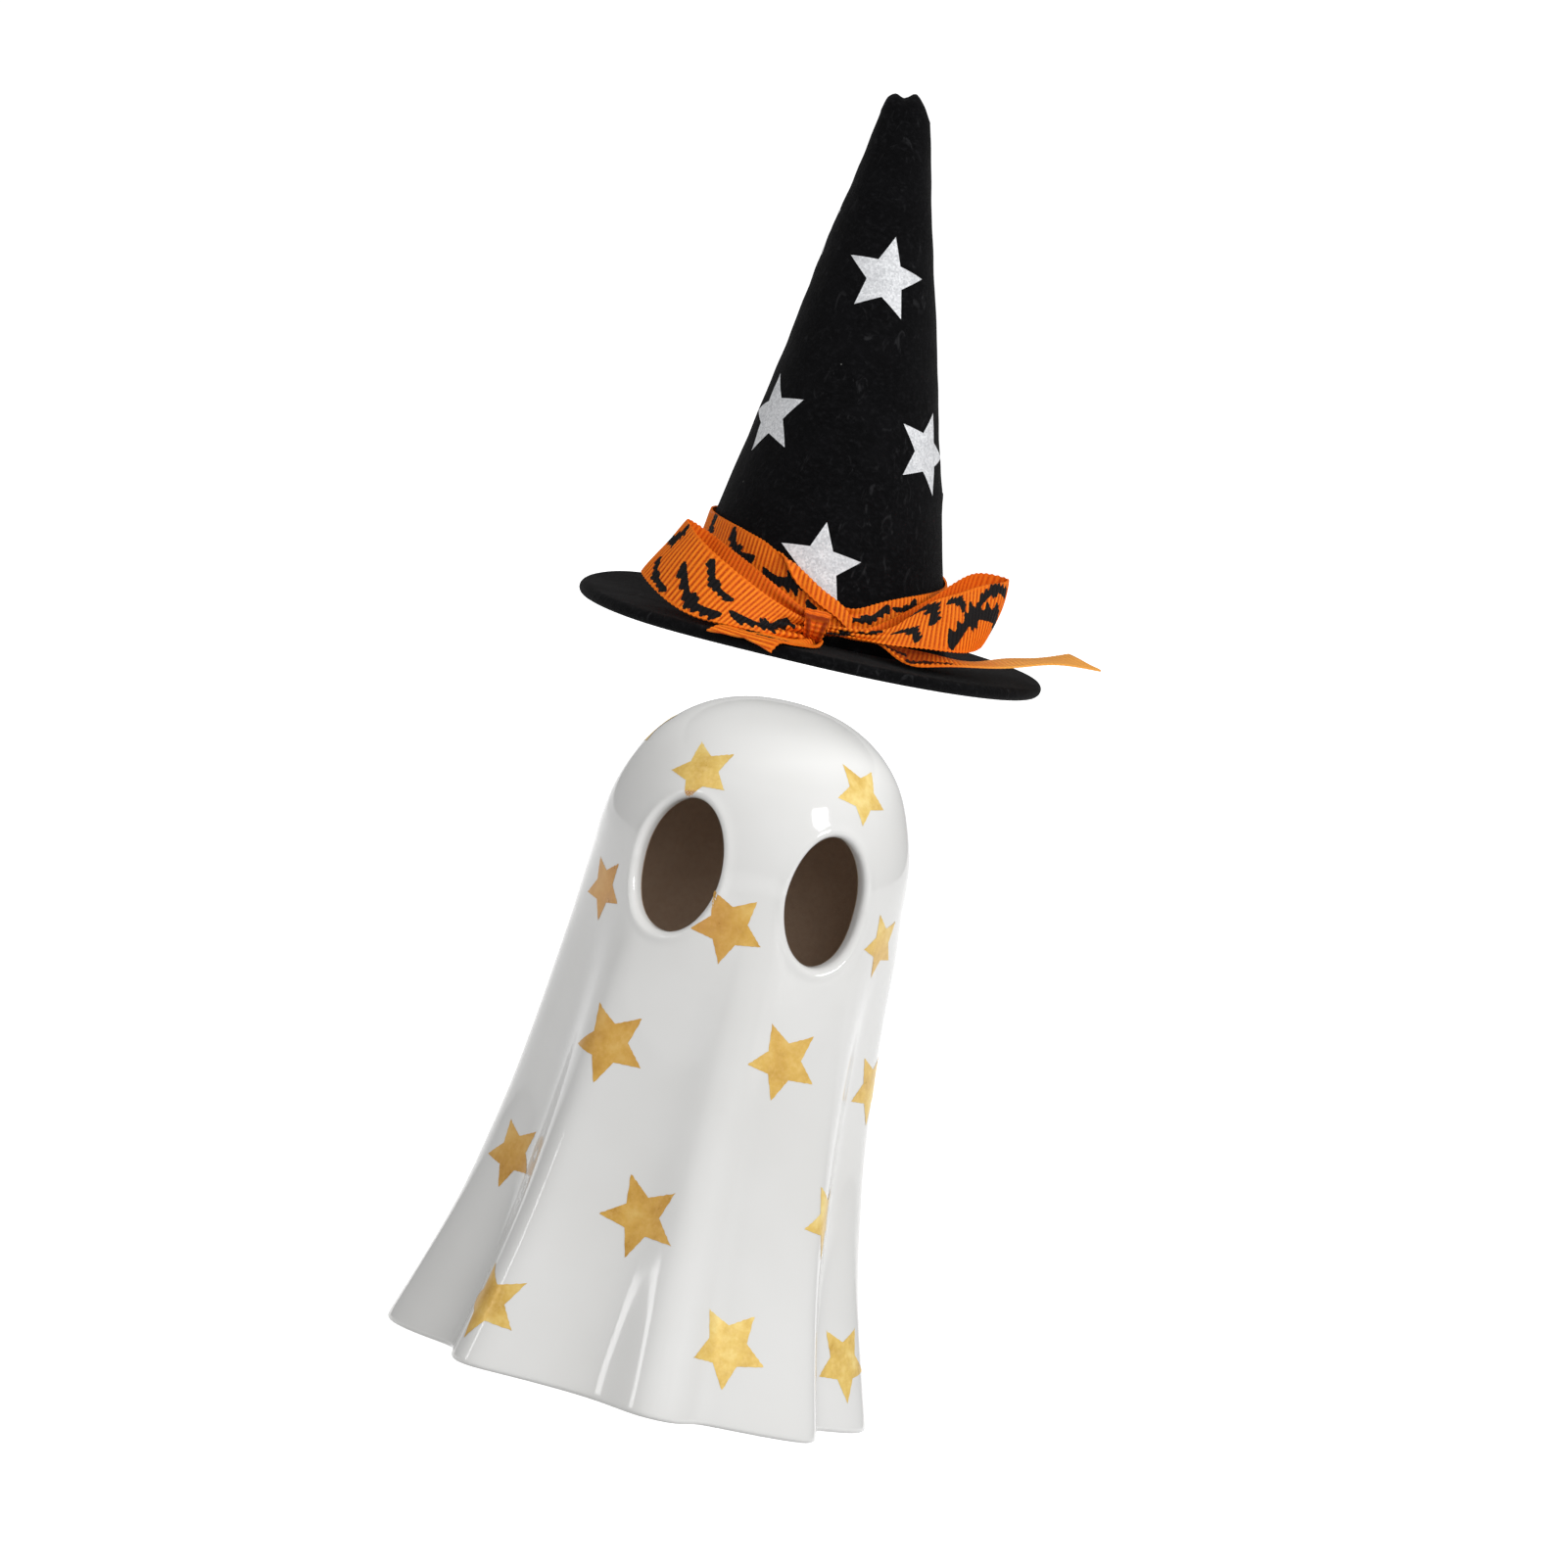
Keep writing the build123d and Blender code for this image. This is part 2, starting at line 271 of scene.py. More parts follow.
def make_gold():
    k = Look("gold_lustre")
    cloud = k.noise(140.0, 4.0, 0.6)
    fine = k.noise(1100.0, 3.0, 0.6)
    tone = k.ramp(cloud, [(0.30, (0.65, 0.400, 0.082)), (0.52, (0.81, 0.560, 0.147)), (0.74, (0.96, 0.790, 0.337))])
    tone = k.mix(k.span(fine, 0.0, 0.35, 0.42, 0.75), tone, (0.96, 0.73, 0.325))
    # painted reflection and shade: the base colour is multiplied to a darker, redder orange where the star faces away
    # from the lamps, down and to the left, and kept paler where it faces up and right towards them
    face = k.nt.nodes.new("ShaderNodeSeparateXYZ")
    k.nt.links.new(k.nt.nodes.new("ShaderNodeNewGeometry").outputs["Normal"], face.inputs["Vector"])
    turn = k.math("ADD", k.math("MULTIPLY", face.outputs["X"], 0.45), k.math("MULTIPLY", face.outputs["Z"], 2.2))
    painted_shade = k.ramp(k.math("ADD", turn, 0.35), [(0.0, (0.705, 0.510, 0.416)), (0.48, (0.810, 0.676, 0.512)), (1.0, (1.0, 1.0, 1.0))])
    k.link(k.mix(1.0, tone, painted_shade, "MULTIPLY"), "Base Color")
    k.link(k.span(cloud, 0.26, 0.40, 0.3, 0.7), "Roughness")
    k.link(k.bump(fine, 0.00002, 0.5), "Normal")
    k.set(Metallic=0.12, Specular_IOR_Level=0.35)
    return k.mat


def make_felt():
    k = Look("black_felt")
    # matted fibres: stretched noise laid in three directions, with single paler fibres and specks of lint
    f1 = k.noise(900.0, 5.0, 0.7, k.place((1.0, 0.35, 1.6), (0.3, 0.5, 0.2)))
    f2 = k.noise(1100.0, 5.0, 0.7, k.place((0.4, 1.5, 0.9), (0.9, 0.1, 1.1)))
    hair = k.noise(330.0, 4.0, 0.62, k.place((1.0, 1.0, 0.42), (0.25, 0.4, 0.1)), 1.6)
    pill = k.noise(120.0, 4.0, 0.6)
    tangle = k.math("MULTIPLY", k.math("ADD", f1, f2), 0.5)
    tone = k.ramp(tangle, [(0.36, (0.0012, 0.0012, 0.0014)), (0.52, (0.0032, 0.0032, 0.0036)), (0.66, (0.0105, 0.0105, 0.0115))])
    tone = k.mix(k.span(pill, 0.0, 0.55, 0.45, 0.75), tone, (0.0055, 0.0055, 0.0062))
    tone = k.mix(k.span(hair, 0.0, 0.8, 0.60, 0.74), tone, (0.0240, 0.0240, 0.0255))
    spot = k.cells(150.0)
    sep = k.nt.nodes.new("ShaderNodeSeparateColor")
    k.nt.links.new(k.cells(150.0, out="Color"), sep.inputs["Color"])
    lint = k.math("MULTIPLY", k.span(spot, 1.0, 0.0, 0.018, 0.042), k.span(sep.outputs["Red"], 0.0, 1.0, 0.74, 0.80))
    k.link(k.mix(lint, tone, (0.220, 0.215, 0.205)), "Base Color")
    k.link(k.span(tangle, 0.85, 1.0, 0.3, 0.7), "Roughness")
    k.link(k.bump(tangle, 0.00035, 0.8, k.bump(hair, 0.0004, 0.6, k.bump(pill, 0.0008, 0.5))), "Normal")
    k.set(Specular_IOR_Level=0.06, Sheen_Weight=0.02, Sheen_Roughness=0.45)
    return k.mat


def make_silver():
    k = Look("silver_glitter")
    flake = k.cells(2600.0, out="Color")
    sep = k.nt.nodes.new("ShaderNodeSeparateColor")
    k.nt.links.new(flake, sep.inputs["Color"])
    cloud = k.noise(420.0, 4.0, 0.65)
    pits = k.noise(1900.0, 3.0, 0.7)
    tone = k.ramp(sep.outputs["Red"], [(0.0, (0.56, 0.57, 0.59)), (0.5, (0.70, 0.71, 0.73)), (1.0, (0.84, 0.85, 0.87))])
    tone = k.mix(k.span(cloud, 0.0, 0.45, 0.45, 0.70), tone, (0.50, 0.51, 0.53))
    tone = k.mix(k.span(pits, 0.0, 0.6, 0.62, 0.76), tone, (0.33, 0.33, 0.35))
    k.link(tone, "Base Color")
    k.link(k.span(sep.outputs["Green"], 0.45, 0.75), "Roughness")
    k.link(k.span(sep.outputs["Blue"], 0.0, 0.12), "Metallic")
    k.link(k.bump(sep.outputs["Blue"], 0.00008, 0.6, k.bump(cloud, 0.0002, 0.5)), "Normal")
    return k.mat


def make_ribbon():
    k = Look("orange_ribbon")
    sd, painted_rib_shading, inside, painted_sheen, painted_shade = (k.attribute(n) for n in ("print_mm", "painted_rib_shading", "inside", "painted_sheen", "painted_shade"))
    blot = k.noise(260.0, 3.0, 0.6)
    thread = k.noise(2400.0, 3.0, 0.6)
    # painted shade in the valleys of the grosgrain ribs and painted highlight on their crests
    orange = k.ramp(painted_rib_shading, [(0.0, (0.330, 0.028, 0.0015)), (0.30, (0.640, 0.092, 0.0030)), (0.70, (0.880, 0.190, 0.0070)), (1.0, (0.960, 0.270, 0.0170))])
    orange = k.mix(k.span(blot, 0.30, 0.0, 0.32, 0.60), orange, (0.720, 0.110, 0.0045))
    orange = k.mix(k.span(thread, 0.0, 0.30, 0.45, 0.75), orange, (1.000, 0.360, 0.0300))
    # painted shade: the unprinted reverse side is tinted a darker red, as if in the shade inside the loops
    orange = k.mix(k.span(inside, 0.0, 0.45), orange, (0.780, 0.100, 0.0045))
    # painted sheen: the far end of the right tail is lightened towards a yellow orange
    orange = k.mix(k.span(painted_sheen, 0.0, 0.75), orange, (0.920, 0.470, 0.0900))
    # painted shade: a darker red in the valleys of the gathers, in the knot's folds and where the right tail lies under
    # the loop
    orange = k.mix(k.span(painted_shade, 0.0, 0.88), orange, (0.170, 0.013, 0.0010))
    rough_edge = k.math("ADD", sd, k.span(thread, -0.14, 0.14, 0.3, 0.7))
    # the printed ink is also painted a little lighter on the ribs' crests, a painted highlight
    ink = k.mix(k.span(painted_rib_shading, 0.0, 0.7), (0.0040, 0.0035, 0.0040), (0.0110, 0.0090, 0.0090))
    k.link(k.mix(k.span(rough_edge, 1.0, 0.0, -0.05, 0.05), orange, ink), "Base Color")
    k.link(k.span(thread, 0.48, 0.68, 0.3, 0.7), "Roughness")
    k.link(k.bump(thread, 0.00005, 0.6), "Normal")
    k.set(Specular_IOR_Level=0.12)
    return k.mat


def make_floor():
    k = Look("pale_floor")
    k.link(k.ramp(k.noise(3.0, 3.0, 0.5), [(0.3, (0.86, 0.86, 0.86)), (0.7, (0.88, 0.88, 0.88))]), "Base Color")
    k.link(k.span(k.noise(8.0, 2.0, 0.5), 0.7, 0.85), "Roughness")
    k.set(Specular_IOR_Level=0.1, Emission_Color=(1.0, 1.0, 1.0, 1.0), Emission_Strength=0.72)
    return k.mat


GLAZE, CLAY, FOOT, GOLD = make_glaze(), make_bare_clay(), make_foot(), make_gold()
FELT, SILVER, RIBBON, FLOOR = make_felt(), make_silver(), make_ribbon(), make_floor()

# ---------------------------------------------------------------- ghost

WALL, SPRING, DOME_R, DOME_H, DOME_P = 4.0, 112.0, 33.9, 38.0, 2.27
EYE_A, EYE_B = {-1: 10.0, 1: 9.4}, {-1: 14.5, 1: 14.05}
EYE_Z, EYE_AZ = {-1: 113.3, 1: 112.6}, {-1: -29.6, 1: 30.4}
RIM, RIM_IN = 1.7, 0.9          # rounding of the eye holes' outer and inner edges
HEM, HEM_IN = 1.3, 1.0          # rounding of the hem's outer and inner edges

crest = cubic([(0.0, 53.9), (3.0, 52.95), (8.0, 51.3), (13.0, 49.7), (24.0, 46.3), (34.0, 43.7), (45.0, 41.5),
               (55.0, 39.7), (66.0, 38.2), (76.0, 37.1), (87.0, 36.1), (97.0, 35.2), (104.0, 34.6), (109.0, 34.15),
               (112.0, 33.9)])
depth = cubic([(0.0, 9.2), (10.0, 8.5), (20.0, 7.5), (30.0, 6.5), (45.0, 5.2), (60.0, 4.1), (75.0, 3.4), (88.0, 2.6),
               (98.0, 1.55), (105.0, 0.65), (109.0, 0.18), (112.0, 0.0)])
fold = cubic([(-178.0, 1.0), (-167.0, 0.60), (-156.0, 0.06), (-145.0, 0.55), (-134.0, 1.0), (-123.0, 0.58), (-112.0, 0.06),
              (-100.0, 0.60), (-89.0, 0.98), (-80.0, 0.82), (-72.0, 0.42), (-61.0, 0.02), (-52.0, 0.46), (-43.0, 1.0),
              (-34.0, 0.64), (-25.0, 0.27), (-17.0, 0.15), (-12.0, 0.18), (-8.0, 0.28), (-4.0, 0.47), (0.0, 0.73), (3.0, 0.91), (6.0, 0.99), (9.0, 1.0), (13.0, 0.86),
              (19.0, 0.46), (24.0, 0.43), (29.0, 0.52), (36.0, 0.72), (43.0, 0.93), (49.0, 1.0), (57.0, 0.58),
              (67.0, 0.08), (77.0, 0.46), (84.0, 0.82), (92.0, 0.93), (103.0, 0.58), (114.0, 0.06), (126.0, 0.60),
              (137.0, 1.0), (148.0, 0.58), (159.0, 0.06), (171.0, 0.68), (182.0, 1.0)], 360.0)


def r_body(az, z):
    az, z = np.broadcast_arrays(np.asarray(az, float), np.asarray(z, float))
    low = crest(z) - depth(z) * (1.0 - fold(az))
    t = np.clip((z - SPRING) / DOME_H, 0.0, 1.0)
    dome = DOME_R * np.clip(1.0 - t**DOME_P, 0.0, 1.0) ** (1.0 / DOME_P)
    # a hand-finished casting is never quite round
    a = np.radians(az)
    soft = np.clip((150.0 - z) / 20.0, 0.0, 1.0)
    cast = 0.10 * np.sin(2 * a + 0.6 + 0.012 * z) + 0.06 * np.sin(5 * a - 0.045 * z) + 0.05 * np.sin(3 * a + 0.07 * z + 1.0)
    left, right = np.clip(-np.sin(a), 0.0, 1.0) ** 2, np.clip(np.sin(a), 0.0, 1.0) ** 2
    cast = cast + 0.55 * left * np.exp(-((z - 116.0) / 14.0) ** 2) + right * (0.40 * np.exp(-((z - 101.0) / 10.0) ** 2) - 0.45 * np.exp(-((z - 131.0) / 8.0) ** 2))
    return np.where(z < SPRING, low, dome) + cast * soft


def eye_gap(az, z):
    """How far outside the nearest eye hole's edge a place on the face is, in mm along the surface."""
    best = np.full(np.shape(az), 99.0)
    for side in (-1, 1):
        d = np.radians(az - EYE_AZ[side])
        p, q = r_body(az, z) * np.sin(d), z - EYE_Z[side]
        lo, hi = np.full(np.shape(az), -8.9), np.full(np.shape(az), 40.0)
        for _ in range(40):
            m = 0.5 * (lo + hi)
            inside = (p / (EYE_A[side] + m)) ** 2 + (q / (EYE_B[side] + m)) ** 2 < 1.0
            hi = np.where(inside, m, hi)
            lo = np.where(inside, lo, m)
        best = np.where(abs(d) < 1.2, np.minimum(best, 0.5 * (lo + hi)), best)
    return best


def r_outer(az, z):
    """The glazed surface, with a slight bead round each eye hole."""
    az, z = np.broadcast_arrays(np.asarray(az, float), np.asarray(z, float))
    wrap = (az + 180.0) % 360.0 - 180.0
    return r_body(az, z) + 0.26 * np.exp(-((eye_gap(wrap, z) - 1.4) / 1.15) ** 2)


def r_inner(az, z):
    az, z = np.broadcast_arrays(np.asarray(az, float), np.asarray(z, float))
    low = crest(z) - depth(z) * (1.0 - fold(az)) - WALL
    t = np.clip((z - SPRING) / (DOME_H - WALL), 0.0, 1.0)
    dome = (DOME_R - WALL) * np.clip(1.0 - t**DOME_P, 0.0, 1.0) ** (1.0 / DOME_P)
    return np.where(z < SPRING, low, dome)


def at(az, r, z):
    az, r, z = np.broadcast_arrays(az, r, z)
    a = np.radians(az)
    return np.stack([r * np.sin(a), -r * np.cos(a), z], -1)


def through(az, z, share):
    """Radius a share of the way through the wall, 0 outside and 1 inside."""
    o = r_outer(az, z)
    return o + (r_inner(az, z) - o) * share


def eye_ring(side, psi, grow, share):
    """Points of an oval around an eye hole, grown by so many mm, at a share of the way through the wall."""
    p, z = (EYE_A[side] + grow) * np.cos(psi), EYE_Z[side] + (EYE_B[side] + grow) * np.sin(psi)
    d = np.zeros_like(p)
    for _ in range(6):
        r = through(EYE_AZ[side] + d, z, share)
        d = np.degrees(np.arcsin(np.clip(p / r, -0.95, 0.95)))
    return EYE_AZ[side] + d, z


def ghost_mesh():
    n = 288
    az = np.arange(n) * 360.0 / n
    walls = np.linspace(HEM, SPRING, 92)
    t = np.append(np.linspace(0.0, 0.5 * np.pi, 46)[1:-1], 0.5 * np.pi - 0.010)
    dome_z = np.sin(t) ** (2 / DOME_P)
    i0 = int(np.argmin(abs(walls - 91.5)))
    i1 = len(walls) + int(np.argmin(abs(SPRING + DOME_H * dome_z - 133.5)))
    points, faces, which, count = [], [], [], [0]

    def add(p):
        p = np.asarray(p).reshape(-1, 3)
        first = count[0]
        points.append(p)
        count[0] += len(p)
        return np.arange(first, first + len(p))

    def quads(idx, m, closed=True):
        q = rings_to_faces(idx, closed)
        faces.extend(q.tolist())
        which.extend([m] * len(q))

    def skin(radius_of, zs, m):
        """Rows of a wall from low to high with a window left out round each eye, and a closing fan on top."""
        rows = np.stack([add(at(az, radius_of(az, z), z)) for z in zs])
        q = rings_to_faces(rows).reshape(len(zs) - 1, n, 4)
        keep = np.ones((len(zs) - 1, n), bool)
        windows = []
        for side, c0, c1 in ((1, 4, 45), (-1, 244, 284)):
            keep[i0:i1, c0:c1] = False
            ring = [(i0, c) for c in range(c0, c1)] + [(i, c1) for i in range(i0, i1)]
            ring += [(i1, c) for c in range(c1, c0, -1)] + [(i, c0) for i in range(i1, i0, -1)]
            windows.append((side, rows[tuple(np.array(ring).T)], np.array([az[c] if side > 0 else az[c] - 360.0 for i, c in ring]),
                            np.array([zs[i] for i, c in ring])))
        faces.extend(q[keep].tolist())
        which.extend([m] * int(keep.sum()))
        top = add([[0.0, 0.0, zs[-1] + 0.003]])[0]
        faces.extend([[int(rows[-1, i]), int(rows[-1, (i + 1) % n]), int(top)] for i in range(n)])
        which.extend([m] * n)
        return rows, windows

    out_rows, out_windows = skin(r_outer, np.concatenate([walls, SPRING + DOME_H * dome_z]), 0)
    low_in = np.linspace(HEM_IN, SPRING, 92)
    in_rows, in_windows = skin(r_inner, np.concatenate([low_in, SPRING + (DOME_H - WALL) * dome_z]), 1)

    for (side, ob, oa, oz), (_, ib, ia, iz) in zip(out_windows, in_windows):
        mid = EYE_AZ[side]
        psi = np.arctan2((oz - EYE_Z[side]) / 21.0, (oa - mid) / 25.0)
        rings = [ob]
        ea, ez = eye_ring(side, psi, RIM, 0.0)
        layers = 11
        for j in range(1, layers + 1):
            w = j / layers
            w = 1.0 - (1.0 - w) ** 1.25
            a, z = oa + (ea - oa) * w, oz + (ez - oz) * w
            rings.append(add(at(a, r_outer(a, z), z)))
        for phi in np.radians(np.arange(11.25, 90.1, 11.25)):
            share = RIM * (1 - math.cos(phi)) / WALL
            a, z = eye_ring(side, psi, RIM * (1 - math.sin(phi)), share)
            rings.append(add(at(a, through(a, z, share), z)))
        for share in ((RIM + 0.3) / WALL, (WALL - RIM_IN) / WALL):
            a, z = eye_ring(side, psi, 0.0, share)
            rings.append(add(at(a, through(a, z, share), z)))
        quads(np.stack(rings), 0)
        inner = [rings[-1]]
        for phi in np.radians((30.0, 60.0, 90.0)):
            share = (WALL - RIM_IN + RIM_IN * math.sin(phi)) / WALL
            a, z = eye_ring(side, psi, RIM_IN * (1 - math.cos(phi)), share)
            inner.append(add(at(a, through(a, z, share), z)))
        for j in range(1, 8):
            w = j / 8
            aa, zz = a + (ia - a) * w, z + (iz - z) * w
            inner.append(add(at(aa, r_inner(aa, zz), zz)))
        inner.append(ib)
        quads(np.stack(inner), 1)

    # hem: rounded outside edge, bare foot, rounded inside edge
    hem = [out_rows[0]]
    for phi in np.radians(np.arange(11.25, 90.1, 11.25)):
        z = HEM * (1 - math.sin(phi))
        hem.append(add(at(az, r_outer(az, z) - HEM * (1 - math.cos(phi)), z)))
    quads(np.stack(hem), 0)
    foot = [hem[-1], add(at(az, r_inner(az, 0.0) + HEM_IN, 0.0))]
    for phi in np.radians((30.0, 60.0)):
        z = HEM_IN * (1 - math.cos(phi))
        foot.append(add(at(az, r_inner(az, z) + HEM_IN * (1 - math.sin(phi)), z)))
    foot.append(in_rows[0])
    quads(np.stack(foot), 2)
    return np.concatenate(points), faces, which


pts, fcs, mats = ghost_mesh()
ghost, _ = put("ghost_body", pts, fcs, [GLAZE, CLAY, FOOT], mats, tidy=True)
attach(ghost, "ghost")
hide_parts("ghost_shell")


def face_point(az, z):
    """A point of the glazed surface, following the rounded rims of the eye holes."""
    s = np.clip(eye_gap(az, z), 0.0, RIM)
    d = RIM - np.sqrt(np.maximum(RIM**2 - (RIM - s) ** 2, 0.0))
    return at(az, through(az, z, d / WALL), z)


def star_grid(r, k, n=9):
    """Points and triangles of a flat five-point star, first tip up."""
    pts, tris, index = [], [], {}

    def vert(p):
        key = (round(p[0], 5), round(p[1], 5))
        if key not in index:
            index[key] = len(pts)
            pts.append(p)
        return index[key]

    corner = []
    for i in range(10):
        a = math.pi * i / 5
        q = r if i % 2 == 0 else r * k
        corner.append((q * math.sin(a), q * math.cos(a)))
    for i in range(10):
        b, c = corner[i], corner[(i + 1) % 10]
        row = []
        for u in range(n + 1):
            row.append([vert(((b[0] * (u - v) + c[0] * v) / n, (b[1] * (u - v) + c[1] * v) / n)) for v in range(u + 1)])
        for u in range(n):
            for v in range(u + 1):
                tris.append((row[u][v], row[u + 1][v], row[u + 1][v + 1]))
                if v < u:
                    tris.append((row[u][v], row[u + 1][v + 1], row[u][v + 1]))
    return np.array(pts), tris


def lay_star(az0, z0, r, turn, k, radius_of, point_of, lift=0.05):
    """A star decal laid on a surface of revolution-like shape, turned clockwise from upright by so many degrees."""
    p, tris = star_grid(r, k)
    rng = np.random.default_rng(int(abs(az0) * 13 + z0 * 7))
    c, s = math.cos(math.radians(turn)), math.sin(math.radians(turn))
    x, y = c * p[:, 0] + s * p[:, 1], -s * p[:, 0] + c * p[:, 1]
    # a slightly uneven printed edge
    far = np.hypot(x, y) / r
    x = x * (1 + 0.02 * np.sin(7 * y + rng.uniform(0, 6)) * far)
    y = y * (1 + 0.02 * np.sin(6 * x + rng.uniform(0, 6)) * far)
    aa = np.linspace(az0 - 45, az0 + 45, 721)
    rr = radius_of(aa, z0)
    arc = np.concatenate([[0.0], np.cumsum(np.hypot(np.diff(rr), 0.5 * (rr[1:] + rr[:-1]) * np.diff(np.radians(aa))))])
    arc -= np.interp(az0, aa, arc)
    lean = float((radius_of(az0, z0 + 2.0) - radius_of(az0, z0 - 2.0)) / 4.0)
    z = z0 + y / math.hypot(1.0, lean)
    az = np.interp(x, arc, aa)
    az = az0 + (az - az0) * radius_of(az0, z0) / radius_of(az0, z)
    e = 0.05
    q = point_of(az, z)
    across = point_of(az + e, z) - point_of(az - e, z)
    up = point_of(az, z + e) - point_of(az, z - e)
    return q + unit(np.cross(across, up)) * lift, tris, az, z


GOLD_STARS = [
    # azimuth, height, tip radius, turn, inner ratio
    (-32.5, 133.5, 7.5, 39.7, 0.52), (42.9, 136.2, 7.3, 41.9, 0.52), (-62.0, 103.5, 7.4, 34.7, 0.50),
    (-4.6, 103.6, 8.2, 36.6, 0.52), (63.2, 105.3, 7.4, 45.7, 0.50), (-35.9, 72.8, 9.1, 39.3, 0.48),
    (26.2, 77.9, 8.7, 42.1, 0.48), (82.5, 73.6, 8.4, 33.0, 0.48), (-69.4, 42.8, 8.0, 38.5, 0.50),
    (-9.1, 39.4, 9.4, 43.0, 0.46), (54.5, 46.0, 8.6, 40.0, 0.48), (-42.9, 13.7, 9.2, 47.0, 0.47),
    (24.2, 16.9, 9.3, 35.0, 0.50), (78.6, 14.9, 8.8, 31.0, 0.50),
    (-97.0, 137.0, 7.4, 36.0, 0.50), (112.0, 135.0, 7.4, 30.0, 0.50), (178.0, 134.0, 7.4, 44.0, 0.50),
    (-103.5, 69.5, 8.7, 38.0, 0.48), (-122.0, 104.0, 7.8, 42.0, 0.50), (125.0, 103.0, 7.8, 34.0, 0.50),
    (-176.0, 103.5, 8.0, 38.0, 0.50), (142.0, 72.0, 8.8, 44.0, 0.48), (-160.0, 74.0, 8.6, 33.0, 0.48),
    (113.0, 43.0, 8.8, 38.0, 0.48), (171.0, 41.0, 9.0, 45.0, 0.48), (-128.0, 42.0, 8.9, 32.0, 0.48),
    (136.0, 15.5, 9.1, 36.0, 0.48), (-168.0, 14.5, 9.0, 42.0, 0.48), (-104.0, 15.0, 8.9, 35.0, 0.48),
]

pts, fcs, base = [], [], 0
for az0, z0, r, turn, k in GOLD_STARS:
    q, tris, az, z = lay_star(az0, z0, r, turn, k, r_outer, face_point)
    gone = eye_gap(az, z) < 0.12
    fcs.extend([tuple(int(i) + base for i in t) for t in tris if not gone[list(t)].any()])
    pts.append(q)
    base += len(q)
gold_stars, _ = put("gold_stars", np.concatenate(pts), fcs, [GOLD])
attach(gold_stars, "ghost")

# ---------------------------------------------------------------- felt hat

HAT_X, BRIM_Z, BRIM_T = 0.7, 163.4, 2.8
BRIM_TOP = BRIM_Z + BRIM_T
BRIM_R, BRIM_HOLE = 50.8, 27.3
FOOT_R, TAPER, CROWN_H, LEAN, FELT_T = 29.4, 0.2155, 117.4, -0.0650, 2.0
felt_wave = ripple(11, 7, 1.0, 4.0, closed=True)
felt_dent = ripple(12, 9, 2.0, 9.0, closed=True)


brim_wave = cubic([(-180.0, -0.90), (-165.0, -1.30), (-140.0, -1.47), (-115.0, -0.95), (-90.0, -0.50), (-65.0, -0.30), (-40.0, -0.05), (0.0, 0.50),
                   (28.0, 0.55), (60.0, 0.35), (90.0, 0.45), (120.0, 0.80), (148.0, 0.80), (165.0, -0.20), (180.0, -0.90)], 360.0)


def brim_sag(x, y):
    """The brim is a soft ring: its right end stands a little higher than its left, with a slight wave."""
    r, a = np.hypot(x, y), np.degrees(np.arctan2(y, x))
    out = np.clip((r - 31.0) / 20.0, 0.0, 1.0)
    return out**1.5 * brim_wave(a)


def crown_radius(az, h):
    az, h = np.broadcast_arrays(np.asarray(az, float), np.asarray(h, float))
    a = np.radians(az)
    r = FOOT_R - TAPER * h
    # the felt's overlap at the back: it climbs on the under layer and ends in a cut edge
    s = np.radians((az - 176.0 + 180.0) % 360.0 - 180.0) * r
    lap = np.where(s < 0, np.clip((s + 13.0) / 13.0, 0, 1) ** 1.6, np.clip(1.0 - s / 0.5, 0, 1))
    high = np.clip((h - 21.0) / 4.0, 0.0, 1.0)
    soft = np.clip((h - 22.0) / 12.0, 0.0, 1.0) * np.clip((CROWN_H - h) / 20.0, 0.15, 1.0)
    return r + lap * (0.12 + 1.15 * high) * np.clip(r / 9.0, 0.3, 1.0) + soft * (0.13 * felt_wave(a, h * 0.05) + 0.08 * felt_dent(a, h * 0.10))


def crown_mid(h):
    """Where the crown's middle line runs: it leans, and is not quite straight."""
    return HAT_X + LEAN * h + 0.24 * np.clip((h - 21.0) / 12.0, 0.0, 1.0)


def crown_point(az, h):
    r = crown_radius(az, h)
    a = np.radians(az)
    h = np.broadcast_to(np.asarray(h, float), r.shape)
    return np.stack([crown_mid(h) + r * np.sin(a), -r * np.cos(a), BRIM_TOP + h], -1)


# the pinched tip: how far its top edge lies below its highest place, along its width
tip_drop = cubic([(-6.5, 6.2), (-5.3, 4.2), (-4.65, 2.1), (-4.07, 1.4), (-2.6, 0.85), (-0.87, 1.45), (1.45, 0.0), (2.9, 1.1), (4.07, 2.5), (4.9, 3.9), (6.2, 6.0)])
TIP_H = CROWN_H - 0.54
TIP_FOOT = CROWN_H - 6.2


